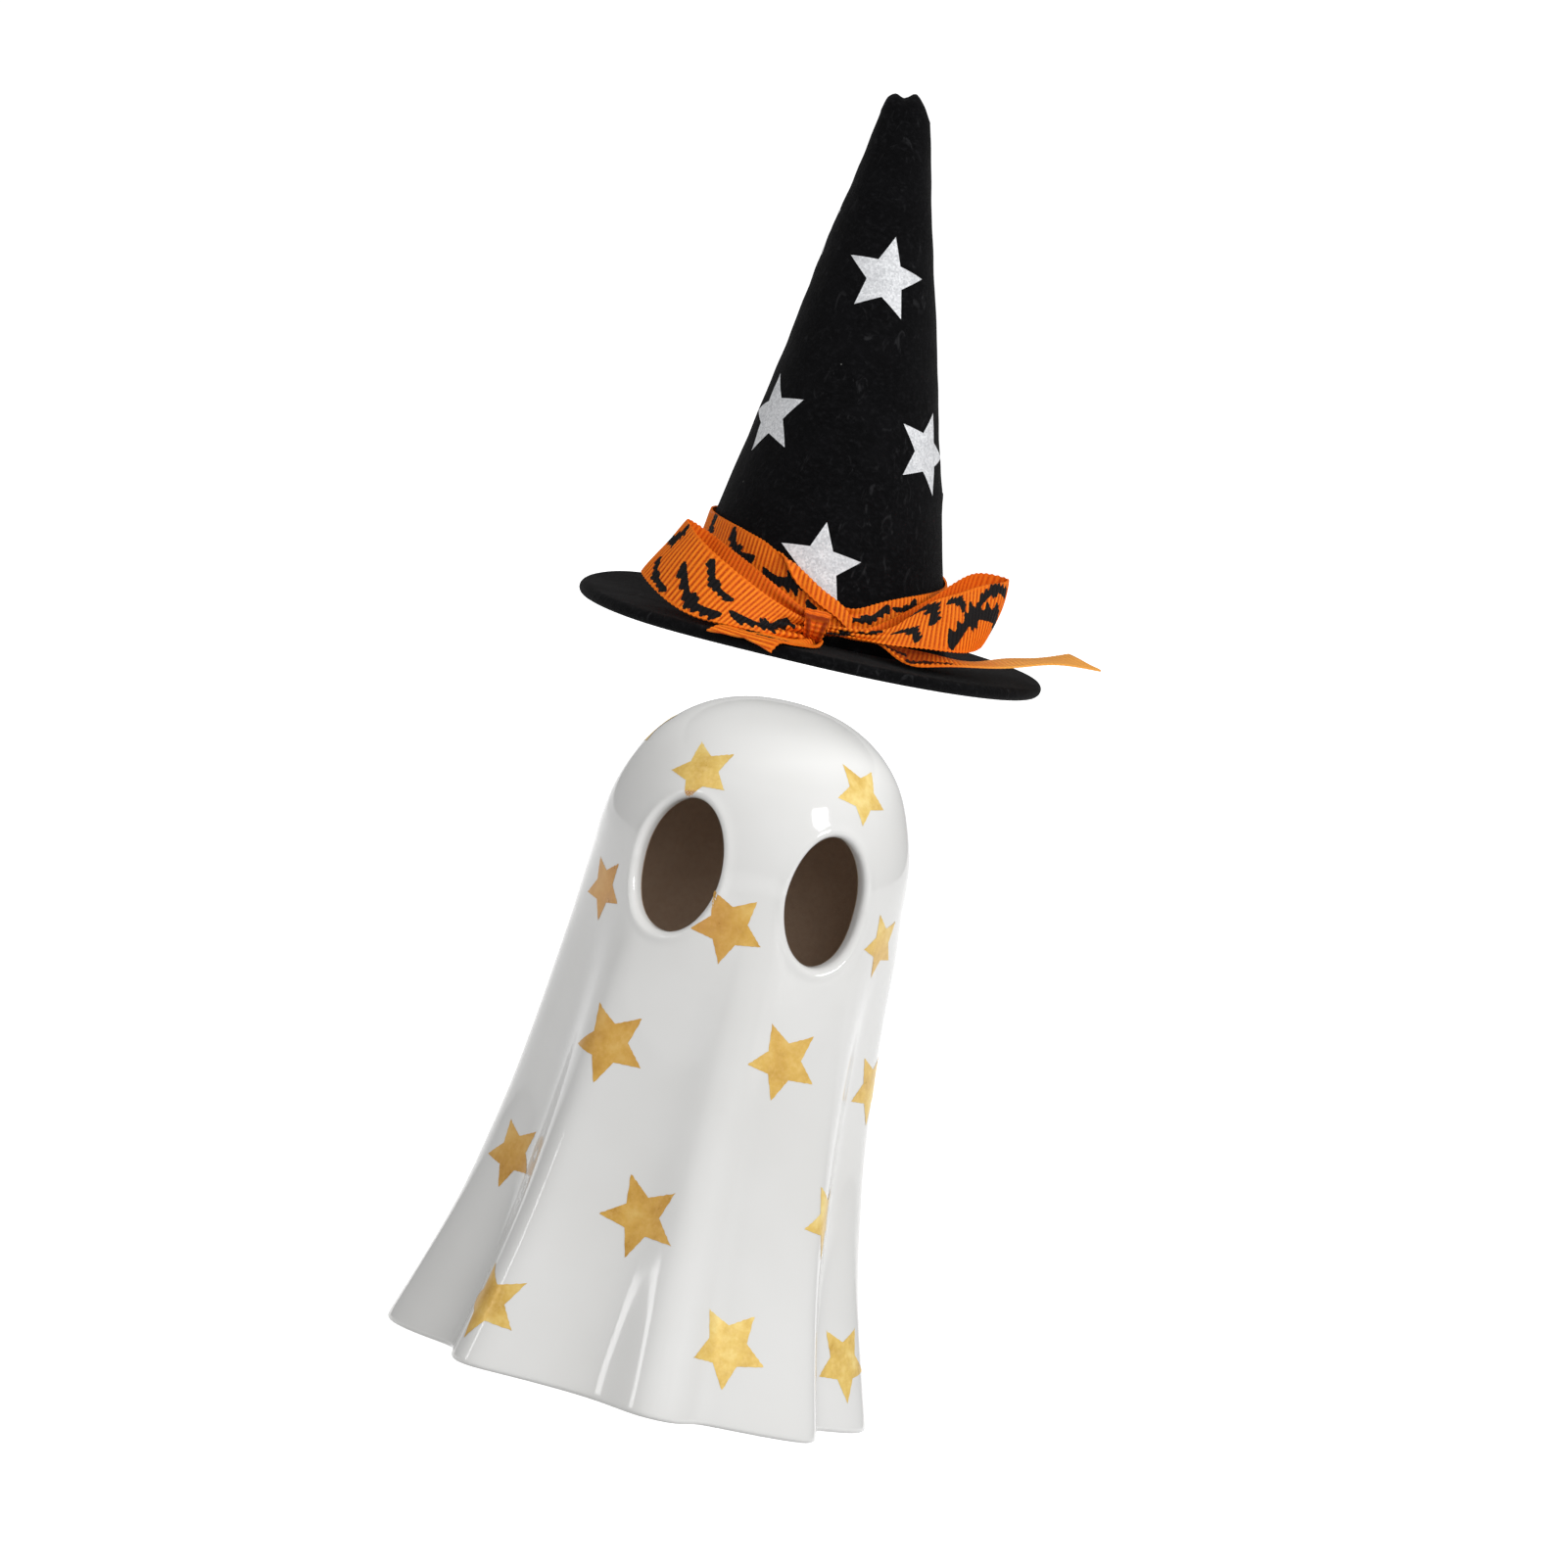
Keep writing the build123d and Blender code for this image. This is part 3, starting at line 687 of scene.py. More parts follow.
def crown_mesh():
    az = np.unique(np.concatenate([np.arange(0, 360, 2.4), np.arange(170.0, 180.0, 0.6)]))
    n = len(az)
    hs = np.linspace(0.0, TIP_FOOT, 66)
    pts = [crown_point(az, h) for h in hs]
    # blunt tip, pinched to two lobes
    edge = pts[-1]
    axis = np.array([crown_mid(TIP_FOOT), 0.0, 0.0])
    for shrink in (0.996, 0.985, 0.962, 0.925, 0.875, 0.81, 0.73, 0.64, 0.54, 0.43, 0.31, 0.18):
        q = axis + (edge - axis) * np.array([shrink, shrink, 0.0])
        x, y = q[:, 0] - axis[0], q[:, 1]
        high = TIP_H - tip_drop(x) - 2.4 * np.abs(y / 5.3) ** 2.6 - TIP_FOOT
        rise = np.maximum(high, 0.25) * (1.0 - shrink**5) ** 0.2
        q[:, 0] += LEAN * rise
        q[:, 2] = BRIM_TOP + TIP_FOOT + rise
        pts.append(q)
    mid = np.array([axis[0] + LEAN * 5.0, 0.0, BRIM_TOP + TIP_H - float(tip_drop(0.0))])
    inner = []
    for h in np.linspace(CROWN_H - 8.0, 0.0, 48):
        r = FOOT_R - FELT_T - TAPER * h
        a = np.radians(az)
        inner.append(np.stack([crown_mid(h) + r * np.sin(a), -r * np.cos(a), np.full(n, BRIM_TOP + h)], -1))
    outer_idx = np.arange(len(pts) * n).reshape(len(pts), n)
    tip = len(pts) * n
    inner_idx = tip + 1 + np.arange(len(inner) * n).reshape(len(inner), n)
    cap = tip + 1 + len(inner) * n
    faces = rings_to_faces(outer_idx).tolist() + rings_to_faces(inner_idx).tolist()
    faces += [[int(outer_idx[-1, i]), int(outer_idx[-1, (i + 1) % n]), tip] for i in range(n)]
    faces += [[int(inner_idx[0, i]), int(inner_idx[0, (i + 1) % n]), cap] for i in range(n)]
    faces += rings_to_faces(np.stack([inner_idx[-1], outer_idx[0]])).tolist()
    apex = inner[0].mean(0) + np.array([0, 0, 0.8])
    return np.concatenate(pts + [mid[None]] + inner + [apex[None]]), faces


pts, fcs = crown_mesh()
crown, _ = put("felt_crown", pts, fcs, [FELT], tidy=True, sharp=55)
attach(crown, "hat")
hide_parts("hat_crown")


def brim_mesh():
    n = 220
    a = np.arange(n) * 2 * np.pi / n
    half = BRIM_T / 2
    section = [(BRIM_HOLE, 0.25), (BRIM_HOLE, half), (BRIM_HOLE, BRIM_T - 0.02)]
    section += [(r, BRIM_T) for r in np.linspace(BRIM_HOLE + 0.4, BRIM_R - 1.5, 14)]
    section += [(BRIM_R - 1.4 + 1.4 * math.sin(t), half + half * math.cos(t)) for t in np.radians(np.arange(15, 166, 15))]
    section += [(r, 0.0) for r in np.linspace(BRIM_R - 1.5, BRIM_HOLE + 0.3, 14)]
    rows = []
    for r, h in section:
        # scissor-cut outline, not quite true
        rr = r + (0.16 * np.sin(3 * a + 1.0) + 0.10 * np.sin(7 * a)) * np.clip((r - 40.0) / 10.0, 0, 1)
        x, y = rr * np.sin(a), -rr * np.cos(a)
        rows.append(np.stack([HAT_X + x, y, BRIM_Z + h + brim_sag(x, y)], -1))
    idx = np.arange(len(rows) * n).reshape(len(rows), n)
    return np.concatenate(rows), rings_to_faces(np.vstack([idx, idx[:1]])).tolist()


pts, fcs = brim_mesh()
brim, _ = put("felt_brim", pts, fcs, [FELT], tidy=True, sharp=55)
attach(brim, "hat")
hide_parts("hat_brim")

SILVER_STARS = [
    (7.8, 77.8, 9.1, 5.2, 0.46), (-58.8, 43.7, 9.4, -16.9, 0.45), (56.9, 43.5, 9.2, 19.8, 0.46), (-3.9, 16.0, 9.3, -0.1, 0.46),
    (132.0, 63.0, 9.2, 20.0, 0.46), (-118.0, 84.0, 9.0, 50.0, 0.46), (112.0, 31.5, 9.4, 8.0, 0.46), (-146.0, 40.0, 9.4, 62.0, 0.46),
]


def wrap_star(az0, h0, r, turn, k, lift=0.12):
    """A star that was printed on the flat felt, carried round the cone as the felt is rolled."""
    p, tris = star_grid(r, k)
    c, s = math.cos(math.radians(turn)), math.sin(math.radians(turn))
    x, y = c * p[:, 0] + s * p[:, 1], -s * p[:, 0] + c * p[:, 1]
    half = math.atan(TAPER)
    slope = (FOOT_R - TAPER * h0) / math.sin(half)
    far = np.hypot(x, slope - y)
    h = h0 + (slope - far) * math.cos(half)
    az = az0 + np.degrees(np.arctan2(x, slope - y) / math.sin(half))
    e = 0.05
    across = crown_point(az + e, h) - crown_point(az - e, h)
    up = crown_point(az, h + e) - crown_point(az, h - e)
    return crown_point(az, h) + unit(np.cross(across, up)) * lift, tris


pts, fcs, base = [], [], 0
for az0, h0, r, turn, k in SILVER_STARS:
    q, tris = wrap_star(az0, h0, r, turn, k)
    fcs.extend([tuple(int(i) + base for i in t) for t in tris])
    pts.append(q)
    base += len(q)
silver_stars, _ = put("silver_stars", np.concatenate(pts), fcs, [SILVER])
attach(silver_stars, "hat")

# ---------------------------------------------------------------- ribbon

RIB = 1.1                        # rib pitch of the grosgrain
RIBBON_W = 16.0

BAT = [(0.0, 0.06), (0.038, 0.175), (0.068, 0.07), (0.10, 0.045), (0.16, 0.075), (0.24, 0.13), (0.32, 0.19), (0.41, 0.255), (0.49, 0.31), (0.512, 0.25),
       (0.505, 0.17), (0.475, 0.08), (0.44, -0.03), (0.405, 0.04), (0.36, 0.065), (0.32, 0.015), (0.285, -0.095), (0.245, -0.025), (0.20, -0.005), (0.16, -0.065),
       (0.125, -0.18), (0.095, -0.11), (0.05, -0.135), (0.0, -0.27)]
BAT = np.array(BAT + [(-x, y) for x, y in reversed(BAT[1:-1])])


def bat_distance(x, y, spots):
    """Signed distance in mm from the outlines of the printed bats, negative inside."""
    best = np.full(x.shape, 9.0)
    for s0, t0, size, turn in spots:
        c, s = math.cos(math.radians(turn)), math.sin(math.radians(turn))
        poly = BAT * size
        px, py = s0 + c * poly[:, 0] - s * poly[:, 1], t0 + s * poly[:, 0] + c * poly[:, 1]
        near = (abs(x - s0) < size * 0.75) & (abs(y - t0) < size * 0.75)
        if not near.any():
            continue
        qx, qy = x[near], y[near]
        ax, ay = px[:, None], py[:, None]
        bx, by = np.roll(px, -1)[:, None], np.roll(py, -1)[:, None]
        ex, ey = bx - ax, by - ay
        t = np.clip(((qx - ax) * ex + (qy - ay) * ey) / (ex * ex + ey * ey), 0, 1)
        d = np.sqrt(((qx - ax - t * ex) ** 2 + (qy - ay - t * ey) ** 2).min(0))
        cross = ((ay > qy) != (by > qy)) & (qx < ex * (qy - ay) / np.where(ey == 0, 1e-9, ey) + ax)
        best[near] = np.minimum(best[near], np.where(cross.sum(0) % 2 == 1, -d, d))
    return best


def ribbon(name, edges, bats=(), printed=1, gather=(0.0, 0.0), waves=2.5, camber=0.0, notch=0.0, thick=0.40, across=40, fine=5, closed=False, curl=None, painted_sheen=None,
           slant=None, plain=None, shade_painter=None):
    """A stretch of grosgrain between two edge lines, given as pairs of points (x, y, height above the brim).
    printed is the side that carries the bats. gather is how far the pleats reach in from each end, in mm.
    slant says how far the ribs run ahead at the upper edge, plain where the reverse side's painted shade is lifted, so
    both sides look alike."""
    low = np.array([e[0] for e in edges], float) + [HAT_X, 0, BRIM_TOP]
    top = np.array([e[1] for e in edges], float) + [HAT_X, 0, BRIM_TOP]
    mid = 0.5 * (low + top)
    chord = np.concatenate([[0.0], np.cumsum(np.linalg.norm(np.diff(mid, axis=0), axis=1))])
    lines = [[cubic(list(zip(chord, line[:, i])), chord[-1] if closed else None) for i in range(3)] for line in (low, top)]
    u = np.linspace(0.0, chord[-1], 3000)
    m = 0.5 * sum(np.stack([f(np.clip(u, 0, chord[-1] - 1e-9)) for f in line], -1) for line in lines)
    run = np.concatenate([[0.0], np.cumsum(np.linalg.norm(np.diff(m, axis=0), axis=1))])
    length = run[-1]
    ns = int(round(length / (RIB / fine))) + 1
    t = np.linspace(0.0, 1.0, across + 1)
    t = 0.5 - 0.5 * np.cos(np.pi * t) * 0.35 + (t - 0.5) * 0.65
    share = np.linspace(0.0, 1.0, ns)
    s = length * share[:, None] * np.ones_like(t)[None, :]
    if notch:
        s = s - notch * (1.0 - abs(2 * t - 1))[None, :] * share[:, None] ** 2
    lag = cubic(slant)(s) if slant else np.zeros_like(s)
    ua, ub = (np.clip(np.interp(s + k * lag, run, u), 0, chord[-1] - 1e-9) for k in (-0.5, 0.5))
    a = np.stack([f(ua) for f in lines[0]], -1)
    b = np.stack([f(ub) for f in lines[1]], -1)
    p = a + (b - a) * t[None, :, None]
    wide = np.linalg.norm(b - a, axis=-1)

    def normals(q):
        ds = np.gradient(q, axis=0)
        dt = np.gradient(q, axis=1)
        return unit(np.cross(ds, dt))

    n = normals(p)
    slack = np.sqrt(np.clip((RIBBON_W / np.maximum(wide, 1.0)) ** 2 - 1.0, 0.0, 9.0) * 2.0) * wide / (2 * np.pi * waves)
    pull = np.zeros_like(s)
    if gather[0]:
        pull = np.maximum(pull, np.exp(-(s / gather[0]) ** 2))
    if gather[1]:
        pull = np.maximum(pull, np.exp(-((length - s) / gather[1]) ** 2))
    rng = np.random.default_rng(len(name) * 31 + ns)
    phase = rng.uniform(0, 6.28)
    gathers = np.sin(2 * np.pi * waves * t[None, :] + phase + 0.05 * s)
    pleat = np.minimum(slack, 0.95) * pull * gathers
    bow = camber * 4 * t * (1 - t)
    drift = 0.10 * np.sin(0.33 * s + 5.0 * t[None, :] + phase) * np.sin(np.pi * t)[None, :]
    p = p + n * (pleat + bow[None, :] + drift)[..., None]
    if curl is not None:
        p = curl(p, s, t[None, :] * np.ones_like(s), length, n)
    n = normals(p)
    edge = np.clip(np.minimum(t, 1 - t) / 0.055, 0, 1)[None, :]
    wave = 0.5 + 0.5 * np.cos(2 * np.pi * s / RIB)
    swell = 0.5 * thick + 0.095 * (wave - 0.5) * 2 * edge
    # looped selvedge: the edge swings out and in with the weft
    out = unit(b - a) * ((wave - 0.5) * 0.22)[..., None] * (np.where(t < 0.02, -1.0, 0.0) + np.where(t > 0.98, 1.0, 0.0))[None, :, None]
    front = p + n * swell[..., None] + out
    back = p - n * swell[..., None] + out
    nt = len(t)
    fi = np.arange(ns * nt).reshape(ns, nt)
    bi = fi + ns * nt
    if closed:
        faces = rings_to_faces(np.vstack([fi[:-1], fi[:1]]), False).tolist() + rings_to_faces(np.vstack([bi[:-1], bi[:1]])[:, ::-1], False).tolist()
        side = np.stack([np.append(fi[:-1, 0], fi[0, 0]), np.append(bi[:-1, 0], bi[0, 0])], 1)
        faces += rings_to_faces(side[:, ::-1], False).tolist()
        side = np.stack([np.append(fi[:-1, -1], fi[0, -1]), np.append(bi[:-1, -1], bi[0, -1])], 1)
        faces += rings_to_faces(side, False).tolist()
    else:
        faces = rings_to_faces(fi, False).tolist() + rings_to_faces(bi[:, ::-1], False).tolist()
        around_f = np.concatenate([fi[0, :-1], fi[:-1, -1], fi[-1, :0:-1], fi[:0:-1, 0]])
        around_b = np.concatenate([bi[0, :-1], bi[:-1, -1], bi[-1, :0:-1], bi[:0:-1, 0]])
        faces += rings_to_faces(np.stack([around_b, around_f])).tolist()
    ob, used = put(name, np.concatenate([front.reshape(-1, 3), back.reshape(-1, 3)]), faces, [RIBBON], tidy=True, sharp=60)
    sd = bat_distance(s + lag * (t[None, :] - 0.5), (t[None, :] - 0.5) * RIBBON_W * np.ones_like(s), bats).ravel() - 0.34
    none = np.full(sd.shape, 9.0)
    sd = np.concatenate([sd, none] if printed > 0 else [none, sd])[used]
    layer = ob.data.attributes.new("print_mm", "FLOAT", "POINT")
    layer.data.foreach_set("value", sd.astype(np.float32))
    # painted shade on the unprinted reverse side, lifted along the strip where plain says
    reverse = np.ones(s.shape) if plain is None else 1.0 - np.clip((s - plain[0]) / (plain[1] - plain[0]), 0, 1)
    inside = np.concatenate([np.zeros(ns * nt), reverse.ravel()] if printed > 0 else [reverse.ravel(), np.zeros(ns * nt)])
    layer = ob.data.attributes.new("inside", "FLOAT", "POINT")
    layer.data.foreach_set("value", inside[used].astype(np.float32))
    # painted sheen, growing along the strip between the two given lengths
    light = np.zeros(s.shape) if painted_sheen is None else np.clip((s - painted_sheen[0]) / (painted_sheen[1] - painted_sheen[0]), 0, 1)
    layer = ob.data.attributes.new("painted_sheen", "FLOAT", "POINT")
    layer.data.foreach_set("value", np.tile(light.ravel(), 2)[used].astype(np.float32))
    # painted shading across the ribs: 0 in each valley, 1 on each crest, an even 0.6 at the selvedges
    layer = ob.data.attributes.new("painted_rib_shading", "FLOAT", "POINT")
    layer.data.foreach_set("value", np.tile((wave * edge + 0.6 * (1 - edge)).ravel(), 2)[used].astype(np.float32))
    # painted shade: the valleys of the gathers are painted a darker red, unless a shade painter function gives the
    # painted shade instead
    painted_shade_amount = 0.62 * pull * (0.5 - 0.5 * printed * gathers) ** 2 if shade_painter is None else 1.0 - shade_painter(p, t[None, :] * np.ones_like(s))
    layer = ob.data.attributes.new("painted_shade", "FLOAT", "POINT")
    layer.data.foreach_set("value", np.tile(painted_shade_amount.ravel(), 2)[used].astype(np.float32))
    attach(ob, "hat")
    return ob, length


band_top = cubic([(-180.0, 20.8), (-135.0, 20.8), (-90.0, 20.4), (-60.0, 19.6), (-30.0, 17.6), (-12.0, 14.4), (-3.0, 11.9),
                  (4.0, 9.8), (11.0, 8.6), (24.0, 10.5), (45.0, 13.6), (90.0, 16.6), (135.0, 19.4), (180.0, 20.8)])
band_low = cubic([(-180.0, 5.0), (-135.0, 5.0), (-90.0, 4.4), (-60.0, 3.4), (-30.0, 2.2), (-12.0, 1.6), (-3.0, 1.8),
                  (4.0, 2.9), (11.0, 3.7), (24.0, 4.2), (45.0, 4.4), (90.0, 4.7), (135.0, 5.0), (180.0, 5.0)])


band_end = cubic([(-8.0, 13.25), (-3.0, 11.95), (2.0, 10.6), (7.0, 9.5), (11.0, 8.1), (14.0, 6.7)])
FLAP, FLAP_R = 4.2, 0.5          # length and bend of the band's upper edge where it is folded over


def step(x, a, b):
    u = np.clip((x - a) / (b - a), 0.0, 1.0)
    return u * u * (3 - 2 * u)


def flap_loss(near):
    """Height that the band loses where its upper edge is folded outwards by a share of a half turn."""
    turn, flap = math.pi * near, FLAP * near
    if turn < 0.5 * math.pi:
        return flap - FLAP_R * math.sin(turn) - max(flap - FLAP_R * turn, 0.0) * math.cos(turn)
    return flap - FLAP_R


def band_edges():
    edges = []
    for azimuth in [-1.0, 5.5, 11.0, 17.0] + [24.0 + 8.5 * k for k in range(39)] + [351.5, 356.0, 360.5, 365.0, 369.5, 374.0]:
        a = azimuth if azimuth <= 180.0 else azimuth - 360.0
        # stands off the crown a little at the left, and its far end lies over its near end
        last = azimuth > 330.0
        stand = 0.45 + 0.35 * math.exp(-((a + 88.0) / 26.0) ** 2) + (0.9 * float(step(a, -14.0, -4.0)) if last else 0.0)
        top = float(band_end(a)) if last and a > -6.0 else float(band_top(a))
        if last:
            top += flap_loss(float(step(a, -27.0, -9.0)))
        pair = []
        for h, part in ((float(band_low(a)), 0.3), (top, 1.0)):
            r = FOOT_R - TAPER * h + 0.2 + stand * part
            pair.append((LEAN * h + r * math.sin(math.radians(a)), -r * math.cos(math.radians(a)), h))
        edges.append(tuple(pair))
    return edges


LOOP_LEFT = [
    ((-2.4, -37.2, 0.7), (-2.4, -36.6, 4.6)), ((-10.0, -42.6, 0.55), (-10.2, -38.0, 7.2)),
    ((-19.0, -44.8, 0.55), (-20.6, -37.4, 11.8)), ((-27.0, -42.2, 0.6), (-28.2, -34.0, 15.8)),
    ((-34.2, -35.0, 2.7), (-31.2, -29.0, 17.9)), ((-38.4, -28.4, 5.2), (-32.0, -24.8, 18.5)),
    ((-38.6, -24.2, 5.8), (-31.5, -21.8, 18.5)), ((-34.5, -21.5, 4.6), (-28.3, -20.5, 17.4)),
    ((-27.0, -25.0, 2.6), (-23.5, -23.6, 15.5)), ((-19.0, -30.6, 1.6), (-17.4, -27.6, 13.1)),
    ((-9.5, -34.4, 1.2), (-9.0, -32.0, 9.2)), ((-2.4, -34.8, 0.9), (-2.4, -33.8, 6.0)),
]
LOOP_RIGHT = [
    ((2.0, -37.0, 3.2), (2.0, -36.6, 4.8)), ((9.0, -37.2, 3.4), (9.0, -36.4, 5.5)), ((16.0, -36.6, 3.9), (15.5, -35.4, 7.8)),
    ((22.0, -33.6, 4.5), (20.8, -33.0, 13.4)), ((29.0, -28.8, 4.9), (26.8, -28.6, 17.0)),
    ((33.6, -22.0, 5.6), (32.6, -22.0, 19.8)), ((35.3, -15.8, 6.8), (37.2, -15.6, 21.2)),
    ((34.6, -12.0, 7.0), (36.8, -11.4, 21.6)), ((31.4, -12.6, 6.2), (32.4, -11.4, 21.5)),
    ((28.0, -14.8, 5.4), (28.6, -13.8, 20.0)), ((25.0, -18.6, 4.8), (24.6, -17.2, 16.4)), ((15.0, -29.4, 4.1), (14.6, -28.0, 8.4)),
    ((9.0, -33.4, 3.9), (9.0, -32.6, 5.3)), ((2.0, -34.8, 3.8), (2.0, -34.2, 4.8)),
]
TAIL_LEFT = [
    ((1.6, -37.6, 0.5), (-2.6, -34.6, 0.5)), ((0.4, -43.6, 0.26), (-12.0, -38.4, 0.26)), ((-2.6, -47.2, 0.26), (-16.4, -41.4, 0.26)),
    ((-5.6, -49.8, 0.26), (-18.8, -45.0, 0.26)), ((-7.4, -51.6, 0.1), (-20.8, -47.2, 0.2)),
    ((-8.9, -53.0, -2.2), (-22.9, -48.8, -1.2)),
]
TAIL_RIGHT = [
    ((1.8, -34.4, 3.2), (1.8, -31.8, 3.2)), ((9.0, -34.6, 3.25), (9.2, -30.8, 3.25)), ((13.8, -35.8, 3.35), (14.6, -29.4, 3.2)),
    ((17.6, -39.2, 1.8), (18.6, -28.2, 3.1)), ((21.4, -40.4, 1.2), (22.2, -26.8, 3.1)), ((25.4, -39.4, 1.9), (25.6, -24.8, 3.0)),
    ((30.6, -36.5, 2.9), (29.4, -22.6, 2.8)),
    ((37.4, -31.4, 3.8), (35.0, -16.8, 3.0)), ((44.0, -27.0, 5.2), (41.0, -11.6, 4.7)),
    ((51.0, -23.6, 7.1), (47.2, -8.4, 6.0)), ((61.0, -20.4, 7.8), (54.2, -5.6, 8.4)),
]


def knot_edges():
    """The wrap over the middle of the bow, from the front over the top and round behind, drawn in towards the foot."""
    edges = []
    for k in range(19):
        a = math.radians(150.0 - 360.0 * k / 18.0)
        y, h, half = -34.9 + 4.4 * math.cos(a), 3.75 + 3.25 * math.sin(a), 2.3 + 0.5 * math.sin(a)
        edges.append(((-0.75 - half, y, h), (-0.75 + half, y, h)))
    return edges


def band_roll(p, s, t, length, n):
    """Towards the knot the band's upper edge is folded over outwards."""
    az = np.degrees(np.arctan2(p[:, 0, 0] - HAT_X - LEAN * (p[:, 0, 2] - BRIM_TOP), -p[:, 0, 1]))
    near = np.where(s[:, 0] > 0.5 * length, step(az, -27.0, -9.0), 0.0)[:, None]
    wide = np.linalg.norm(p[:, -1] - p[:, 0], axis=-1)[:, None]
    up = unit(p[:, -1] - p[:, 0])[:, None, :]
    out = unit(p[:, -1:] * [1.0, 1.0, 0.0] - [HAT_X, 0, 0])
    run = np.maximum(t * wide - (wide - FLAP * near), 0.0)
    turn = np.pi * near
    bend = np.minimum(run / FLAP_R, turn)
    rest = np.maximum(run - FLAP_R * turn, 0.0)
    rise = FLAP_R * np.sin(bend) + rest * np.cos(turn)
    reach = FLAP_R * (1.0 - np.cos(bend)) + rest * (np.sin(turn) + 0.12 * near)
    return p + up * (rise - run)[..., None] + out * reach[..., None]


def knot_creases(p, s, t, length, n):
    """A roll along the knot's upper edge, and below it the gathered ribbon's folds fanning out."""
    a = np.degrees(np.arctan2((p[..., 2] - BRIM_TOP - 3.75) / 3.25, (p[..., 1] + 34.9) / 4.4)) % 360.0
    roll = 0.50 * np.exp(-((a - 112.0) / 17.0) ** 2) - 0.70 * np.exp(-((a - 143.0) / 8.0) ** 2)
    front = step(a, 138.0, 156.0) * (1.0 - step(a, 250.0, 285.0))
    return p + n * (roll + front * 0.65 * knot_fold(a, t) + 0.07 * np.sin(2 * np.pi * 3.0 * t + 0.03 * a))[..., None]


def knot_fold(a, t):
    """Narrow valleys between rounded folds, fanning out downwards."""
    fan = t + 0.16 * (t - 0.5) * (a - 180.0) / 60.0
    return 0.5 - np.exp(-((fan - 0.20) / 0.085) ** 2) - np.exp(-((fan - 0.86) / 0.085) ** 2) - 0.45 * np.exp(-((fan - 0.56) / 0.06) ** 2)


# painted shade on the knot: a darker line under the roll along its upper edge, and darkened valleys between the folds
# below it
def knot_painted_shade(p, t):
    a = np.degrees(np.arctan2((p[..., 2] - BRIM_TOP - 3.75) / 3.25, (p[..., 1] + 34.9) / 4.4)) % 360.0
    front = step(a, 138.0, 156.0) * (1.0 - step(a, 250.0, 285.0))
    return (1.0 - 0.95 * np.exp(-((a - 143.0) / 9.0) ** 2)) * (1.0 - front * np.clip(0.5 - knot_fold(a, t), 0.0, 1.0))


def tail_shade(p, t):
    """Painted shadow: where the right tail comes out from under the loop, its face but for the selvedge is painted a
    darker red, as if in the loop's shadow.
    """
    return 1.0 - 0.75 * (1.0 - step(p[..., 0], 23.0, 30.0)) * step(t, 0.05, 0.16)


def loop_belly(size):
    """Rounds the loop's end fold out between its two edges."""
    def shape(p, s, t, length, n):
        return p + n * (size * 4 * t * (1 - t) * np.exp(-((s - 0.5 * length) / 11.0) ** 2))[..., None]
    return shape


band, band_len = ribbon("ribbon_band", band_edges(), printed=1, gather=(7.0, 0.0), waves=2.0, across=44, fine=4, curl=band_roll, plain=(140.0, 152.0),
                        bats=[(11.0, 0.8, 12.6, 18), (21.2, 4.0, 6.4, 21), (32, -3, 10, -30), (44, 3, 9, 150), (57, -2.5, 11, 10), (69, 3.5, 8, -50),
                              (80, -2, 12, 170), (94, 2.5, 9, 30), (106, -3.5, 11, -15), (117, 3, 8, 120), (127, -2, 10, 5), (139.6, 4.4, 7.5, -70),
                              (137, -4, 9, 30), (152.0, 3.2, 9.0, -24), (167.5, 2.1, 12.4, 26), (176.0, -2.5, 8.0, 10)])
loop_left, loop_left_len = ribbon("ribbon_loop_left", LOOP_LEFT, printed=-1, gather=(7.0, 7.0), slant=[(0.0, 0.0), (7.0, -4.6), (14.0, -7.2), (24.0, -9.0), (33.0, -7.8), (43.0, -3.6), (54.0, 0.0), (84.0, 0.0)],
                                  bats=[(9.5, -3.3, 15.2, -28), (27.2, -4.6, 11.8, 32), (22.2, 2.2, 7.6, 48), (37.6, -5.5, 6.2, 40), (38.5, 3.4, 9.5, -35),
                                        (50, -1, 10, 150), (61, 4, 8, 30), (66, -4, 10, -20), (76, 1, 10, 60)])
loop_right, loop_right_len = ribbon("ribbon_loop_right", LOOP_RIGHT, printed=1, gather=(9.0, 8.0), curl=loop_belly(0.9), slant=[(0.0, 0.0), (8.0, 1.8), (17.0, 2.2), (28.0, 0.4), (45.0, 0.0), (94.0, 0.0)],
                                    bats=[(35.1, 0.4, 17.0, -161), (40.8, 6.4, 8.3, -173), (30.1, 5.8, 5.6, 146), (22.8, 5.4, 9.5, 123), (18.3, -1.3, 8.2, 135),
                                          (3.6, -4.0, 12.0, 80), (7.5, 3.0, 9.0, 20), (50, -3, 11, 20), (58, 4, 9, 140), (66, -4, 10, -30), (75, 2, 9, 60), (84, -2, 9, 0)])
tail_left, tail_left_len = ribbon("ribbon_tail_left", TAIL_LEFT, printed=-1, gather=(6.0, 0.0), notch=1.5,
                                  bats=[(17.0, -4.0, 6.0, 60), (13.5, 3.6, 7.0, -30)])
tail_right, tail_right_len = ribbon("ribbon_tail_right", TAIL_RIGHT, printed=1, gather=(2.0, 0.0), painted_sheen=(26.0, 44.0),
                                    shade_painter=tail_shade, bats=[(13.0, -3.0, 11.0, 15), (23.0, -4.0, 10.0, 195)])
knot, knot_len = ribbon("ribbon_knot", knot_edges(), printed=1, waves=2.0, closed=True, curl=knot_creases, shade_painter=knot_painted_shade, bats=[(8, 3.5, 8, 80)])
